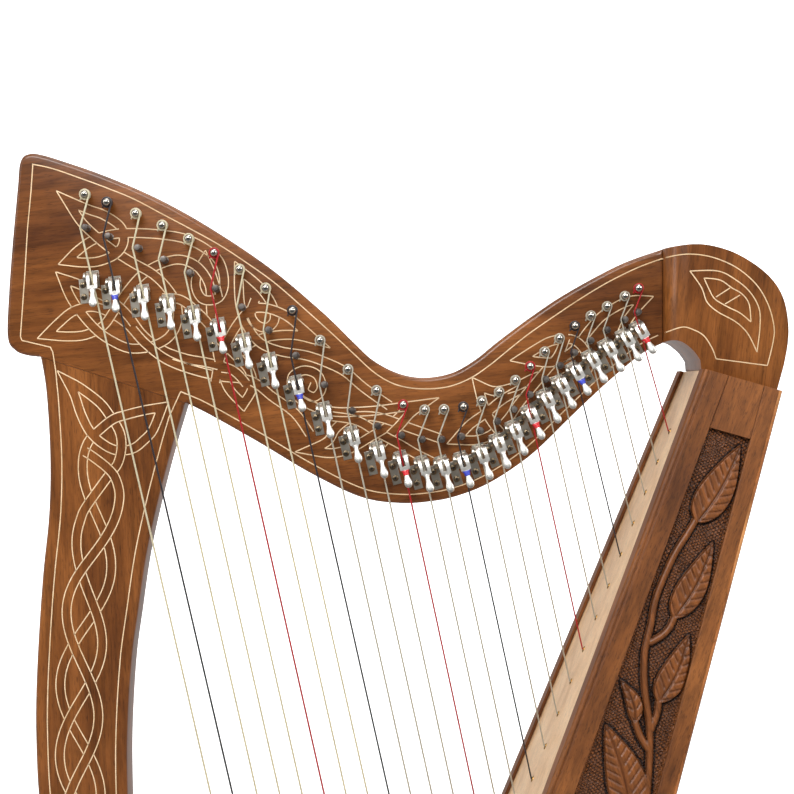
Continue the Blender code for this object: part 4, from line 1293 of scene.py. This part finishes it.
def bracket_mesh(face):
    """Base plate and upright cheek with a rounded top, axle and cap, in the lever's frame."""
    bm = bmesh.new()
    block(bm, (PLATE[0], face - 0.4, PLATE_Z[0]), (PLATE[1], face + PLATE_T, PLATE_Z[1]))
    block(bm, (-3.6, face - 0.4, -6.5), (PLATE[0] + 0.5, face + PLATE_T - 0.1, 4.6))
    arc = [math.pi * k / 12 for k in range(13)]
    cheek = [(face - 0.3, -3.6)]
    cheek += [(-0.2 + CHEEK_R * math.sin(a), -CHEEK_R * math.cos(a)) for a in arc]
    cheek += [(face - 0.3, 3.6)]
    skin(bm, [[(x * MM, y * MM, z * MM) for y, z in cheek] for x in CHEEK])
    turned(bm, ((0.9, 0.0), (0.9, 9.8)), (CHEEK[1] - 0.4, 0, 0), (-1, 0, 0), 16)
    turned(bm, ((1.7, 0.0), (1.8, 0.2), (1.8, 0.6), (1.5, 0.8)), (-DRUM_HALF - 0.35, 0, 0),
           (-1, 0, 0), 20)
    turned(bm, ((1.75, 0.0), (1.75, 0.35), (1.4, 0.6)), (CHEEK[1], 0, 0), (1, 0, 0), 20)
    return tidy(bm)


def screw_mesh(face):
    """Two round-headed screws, one above the other on the plate."""
    bm = bmesh.new()
    for z in SCREW_Z:
        arc = [math.pi / 2 * k / 5 for k in range(6)]
        dome = [(max(0.25, SCREW_R * math.cos(a)), 0.9 * math.sin(a)) for a in arc]
        turned(bm, [(SCREW_R, -0.6)] + dome, (SCREW_X, face + PLATE_T + 0.1, z), (0, 1, 0), 20)
    return tidy(bm)


def slot_mesh(face):
    """Painted shade: dark blocks for the bottoms of the two cross slots in each screw head."""
    bm = bmesh.new()
    for z in SCREW_Z:
        for wide, tall in ((1.5, 0.28), (0.28, 1.5)):
            block(bm, (SCREW_X - wide, face + PLATE_T + 0.5, z - tall),
                  (SCREW_X + wide, face + PLATE_T + 1.02, z + tall))
    return tidy(bm)


def arm_mesh(slotted):
    """Two fork arms beside the string. The wide fork's drum is open between the arms."""
    gap = FORK_GAP[0] if slotted else FORK_GAP[1]
    right, left = (-ARM_OUT[0], -gap), (gap, ARM_OUT[1])
    bm = bmesh.new()
    for ends, side in ((right, ARM_SIDE), (left, ARM_SIDE), ((-gap - 0.2, gap + 0.2), BRIDGE_SIDE)):
        skin(bm, [[(x * MM, y * MM, z * MM) for y, z in side] for x in ends])
    spans = (right, left) if slotted else ((right[0], left[1]),)
    for low, high in spans:
        drum = ((DRUM_R - 0.5, low), (DRUM_R, low + 0.3), (DRUM_R, high - 0.3),
                (DRUM_R - 0.5, high))
        turned(bm, drum, (0, 0, 0), (1, 0, 0), 28)
    return bm


def handle_rings(rows, grow=0.0, sides=20):
    """Flat oval rings that step outwards as the handle goes down."""
    found = []
    for z, wide, deep in rows:
        out = HANDLE_OUT + HANDLE_LEAN * (HANDLE[0][0] - z)
        found.append([((wide + grow) * math.copysign(abs(math.cos(a)) ** 0.8, math.cos(a)) * MM,
                       (out + (deep + grow) * math.sin(a)) * MM, z * MM)
                      for a in (2 * math.pi * k / sides for k in range(sides))])
    return found


def handle_at(z):
    """Width and depth of the handle at a height."""
    for (za, wa, da), (zb, wb, db) in zip(HANDLE, HANDLE[1:]):
        if zb <= z <= za:
            t = (za - z) / (za - zb)
            return (z, wa + (wb - wa) * t, da + (db - da) * t)
    return HANDLE[-1]


def to_world(mesh, place):
    """Moves a mesh from a lever's frame in millimetres to the world in metres."""
    scaled = place.copy()
    scaled.translation = place.translation * MM
    mesh.transform(scaled)
    return mesh


def make_levers(mats):
    shapes = []
    for slotted in (True, False):
        arms = arm_mesh(slotted)
        skin(arms, handle_rings(HANDLE))
        shapes.append(tidy(arms))
    band_rows = [handle_at(z) for z in BAND_ROWS]
    bm = bmesh.new()
    skin(bm, handle_rings(band_rows[:1], -0.1) + handle_rings(band_rows[1:-1], BAND_OUT)
         + handle_rings(band_rows[-1:], -0.1))
    band = tidy(bm)
    for string in range(STRINGS):
        place = lever_frame(string)
        number = f"{string + 1:02d}"
        body = f"lever_{number}_body"
        shape = shapes[0] if string < SLOTTED else shapes[1]
        made = dressed(f"lever_{number}_metal", to_world(shape.copy(), place), mats["nickel"],
                       body=body, slot="chrome_lever", replaces=(f"lever_{number}",), angle=40.0)
        bevelled(made, 0.25, 2, 40.0)
        colour = {"red": "red_band", "dark": "blue_band"}.get(string_colour(string))
        if colour:
            dressed(f"lever_band_{number}", to_world(band.copy(), place), mats[colour],
                    body=body, slot="chrome_lever", angle=50.0)
        face = place.translation.y + NECK_T / 2
        made = dressed(f"bracket_{number}", to_world(bracket_mesh(face), place), mats["bracket"],
                       slot="chrome_lever", angle=30.0)
        bevelled(made, 0.22, 2, 40.0)
        dressed(f"bracket_screws_{number}", to_world(screw_mesh(face), place), mats["screw"],
                slot="steel_bolt", angle=35.0)
        dressed(f"screw_slots_{number}", to_world(slot_mesh(face), place), mats["shadow"],
                slot="steel_bolt", angle=35.0)


def make_eyelets(mats):
    """Small brass rings in the soundboard's string holes."""
    into = upright(FRONT_IN)
    profile = ((1.25, 1.6), (1.25, -0.1), (1.45, -0.38), (1.75, -0.45), (2.1, -0.35), (2.3, 0.0),
               (2.3, 0.2), (1.55, 0.25), (1.55, 1.6))
    for string in range(STRINGS):
        at = hole_at(string)
        bm = bmesh.new()
        ring_profile(bm, profile, upright(at), into)
        dressed(f"eyelet_{string + 1:02d}", tidy(bm), mats["brass"], slot="steel_bolt")


def ring_profile(bm, profile, at, along, sides=20):
    """A ring: its closed section turned round an axis."""
    side = along.orthogonal().normalized()
    up = along.cross(side)
    rings = []
    for k in range(sides + 1):
        a = 2 * math.pi * (k % sides) / sides
        out = side * math.cos(a) + up * math.sin(a)
        rings.append([(at + along * far + out * r) * MM for r, far in profile])
    skin(bm, rings, caps=False)


# Base, feet and what carries over from the CAD model.


def make_base(mats):
    """Base board with a moulded edge."""
    low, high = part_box("base")
    low, high = low / MM, high / MM
    profile = ((2.5, 0.0), (0.8, 1.0), (0.0, 3.0), (0.0, 12.0), (1.0, 14.0), (3.2, 15.4),
               (3.2, 17.4), (2.2, 18.6), (2.2, 26.5), (3.0, 29.5), (5.0, 32.0), (8.0, 33.6),
               (10.0, 34.0))
    rings = []
    for inset_by, up in profile:
        x0, x1 = low.x + inset_by, high.x - inset_by
        y0, y1 = low.y + inset_by, high.y - inset_by
        rings.append([(x * MM, y * MM, (low.z + up) * MM)
                      for x, y in rounded_rectangle(x0, x1, y0, y1, 14.0 - inset_by * 0.6)])
    bm = bmesh.new()
    skin(bm, rings)
    dressed("base_board", tidy(bm), mats["base"], slot="walnut", replaces=("base",), angle=50.0)


def rounded_rectangle(x0, x1, y0, y1, radius, steps=6):
    corners = ((x1 - radius, y1 - radius, 0), (x0 + radius, y1 - radius, 1),
               (x0 + radius, y0 + radius, 2), (x1 - radius, y0 + radius, 3))
    found = []
    for cx, cy, quarter in corners:
        for k in range(steps + 1):
            a = math.pi / 2 * (quarter + k / steps)
            found.append((cx + radius * math.cos(a), cy + radius * math.sin(a)))
    return found


def make_feet(mats):
    for name in ("foot_front_left", "foot_front_right", "foot_back_left", "foot_back_right"):
        low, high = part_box(name)
        centre = (low + high) / 2 / MM
        tall = (high.z - low.z) / MM
        profile = ((12.6, 0.0), (13.6, 0.4), (14.0, 1.2), (15.2, tall - 1.6), (15.4, tall - 0.6),
                   (15.0, tall))
        bm = bmesh.new()
        turned(bm, profile, (centre.x, centre.y, low.z / MM), (0, 0, 1), 40)
        dressed(name + "_rubber", tidy(bm), mats["rubber"], slot="rubber_foot", replaces=(name,))


def dress_cad(mats):
    """Materials and eased edges for the CAD pieces that stay."""
    kept = (("spruce", 0.0, ("soundboard",)),
            ("rail", 0.6, ("top_block", "bottom_block")),
            ("maple", 0.8, ("brace_upper", "brace_lower")),
            ("maple", 0.5, ("dowel_pillar_a", "dowel_pillar_b", "dowel_shoulder_a",
                            "dowel_shoulder_b")),
            ("zinc", 0.4, ("pillar_bolt", "shoulder_bolt", "box_bolt_left", "box_bolt_right")))
    for key, ease, names in kept:
        for name in names:
            node = frame["nodes"][name]
            node.data.materials.clear()
            node.data.materials.append(mats[key])
            if ease:
                bevelled(node, ease, 2, 40.0)


# Stage, light and camera.


def make_stage():
    """A pale floor that curves up into a plain backdrop, far enough back to look from behind."""
    bend, height = 0.6, 3.4
    rows = [(-BACKDROP_FAR, 0.0), (BACKDROP_FAR - bend, 0.0)]
    rows += [(BACKDROP_FAR - bend * (1 - math.sin(a)), bend * (1 - math.cos(a)))
             for a in (math.pi / 2 * k / 10 for k in range(1, 11))]
    rows += [(BACKDROP_FAR, height)]
    bm = bmesh.new()
    left = [bm.verts.new((-4.0, y, z)) for y, z in rows]
    right = [bm.verts.new((4.0, y, z)) for y, z in rows]
    for i in range(len(rows) - 1):
        bm.faces.new((left[i], right[i], right[i + 1], left[i + 1]))
    mesh = bpy.data.meshes.new("backdrop")
    bm.to_mesh(mesh)
    bm.free()
    mesh.shade_smooth()
    backdrop = bpy.data.objects.new("backdrop", mesh)
    bpy.context.scene.collection.objects.link(backdrop)
    make = Nodes(bpy.data.materials.new("paper_white"))
    coords = make.add("ShaderNodeTexCoord").outputs["Object"]
    height = make.add("ShaderNodeSeparateXYZ", {"Vector": coords}).outputs["Y"]
    glow = make.add("ShaderNodeMapRange", {"Value": height, "From Min": 0.3, "From Max": 1.2,
                                           "To Min": 0.0, "To Max": 0.8})
    away = make.add("ShaderNodeVectorMath", {"Vector": coords}, operation="LENGTH").outputs["Value"]
    edge = make.add("ShaderNodeMapRange", {"Value": away, "From Min": 2.0, "From Max": 3.2,
                                           "To Min": 0.0, "To Max": 1.0})
    make.set(Base_Color=(0.9, 0.9, 0.9, 1.0), Roughness=0.8, Emission_Color=(1, 1, 1, 1),
             Emission_Strength=make.math("MAXIMUM", glow.outputs[0], edge.outputs[0]))
    mesh.materials.append(make.made)
    backdrop.visible_glossy = False


def soft_light(name, at, size, power):
    """A rectangular softbox aimed at the harp. Size is its width and height."""
    data = bpy.data.lights.new(name, "AREA")
    data.shape = "RECTANGLE"
    data.size, data.size_y = size
    data.energy = power
    obj = bpy.data.objects.new(name, data)
    bpy.context.scene.collection.objects.link(obj)
    obj.location = at
    obj.rotation_mode = "QUATERNION"
    obj.rotation_quaternion = (Vector(LIGHTS_AIM) - Vector(at)).to_track_quat("-Z", "Y")


def make_lights():
    """Softboxes, and a world that is brighter behind the harp and white for the camera."""
    soft_light("key", (-0.5, -1.5, 1.8), (1.2, 0.7), 29.0)
    soft_light("fill", (1.4, -1.2, 1.5), (0.7, 0.9), 12.0)
    soft_light("side", (-1.7, -0.7, 1.3), (0.5, 1.0), 5.0)
    soft_light("top", (0.1, -0.1, 2.3), (1.2, 0.9), 10.0)
    world = bpy.data.worlds.new("studio")
    bpy.context.scene.world = world
    make = Nodes(world, "Background")
    coords = make.add("ShaderNodeTexCoord").outputs["Generated"]
    depth = make.add("ShaderNodeSeparateXYZ", {"Vector": coords}).outputs["Y"]
    glow = make.add("ShaderNodeMapRange", {"Value": depth, "From Min": -0.8, "From Max": 0.1,
                                           "To Min": 0.1, "To Max": 0.5})
    rays = make.add("ShaderNodeLightPath").outputs["Is Camera Ray"]
    make.set(Color=(1.0, 1.0, 1.0, 1.0), Strength=make.math("MAXIMUM", glow.outputs[0], rays))


def make_camera():
    data = bpy.data.cameras.new("camera")
    data.lens = LENS
    data.sensor_width = 36.0
    camera = bpy.data.objects.new("camera", data)
    bpy.context.scene.collection.objects.link(camera)
    camera.location = CAMERA_AT
    camera.rotation_euler = (math.pi / 2, 0.0, 0.0)
    bpy.context.scene.camera = camera
    bpy.context.scene.view_settings.view_transform = "Standard"


def main():
    make_camera()
    mats = materials()
    make_neck(mats)
    make_pillar(mats)
    make_shoulder(mats)
    make_neck_inlay(mats)
    make_pillar_inlay(mats)
    make_shoulder_inlay(mats)
    make_rails(mats)
    make_corner_highlights(mats)
    make_back_panel(mats)
    make_panels(mats)
    make_rib(mats)
    make_strings(mats)
    make_pins(mats)
    make_levers(mats)
    make_eyelets(mats)
    make_base(mats)
    make_feet(mats)
    dress_cad(mats)
    make_stage()
    make_lights()


main()
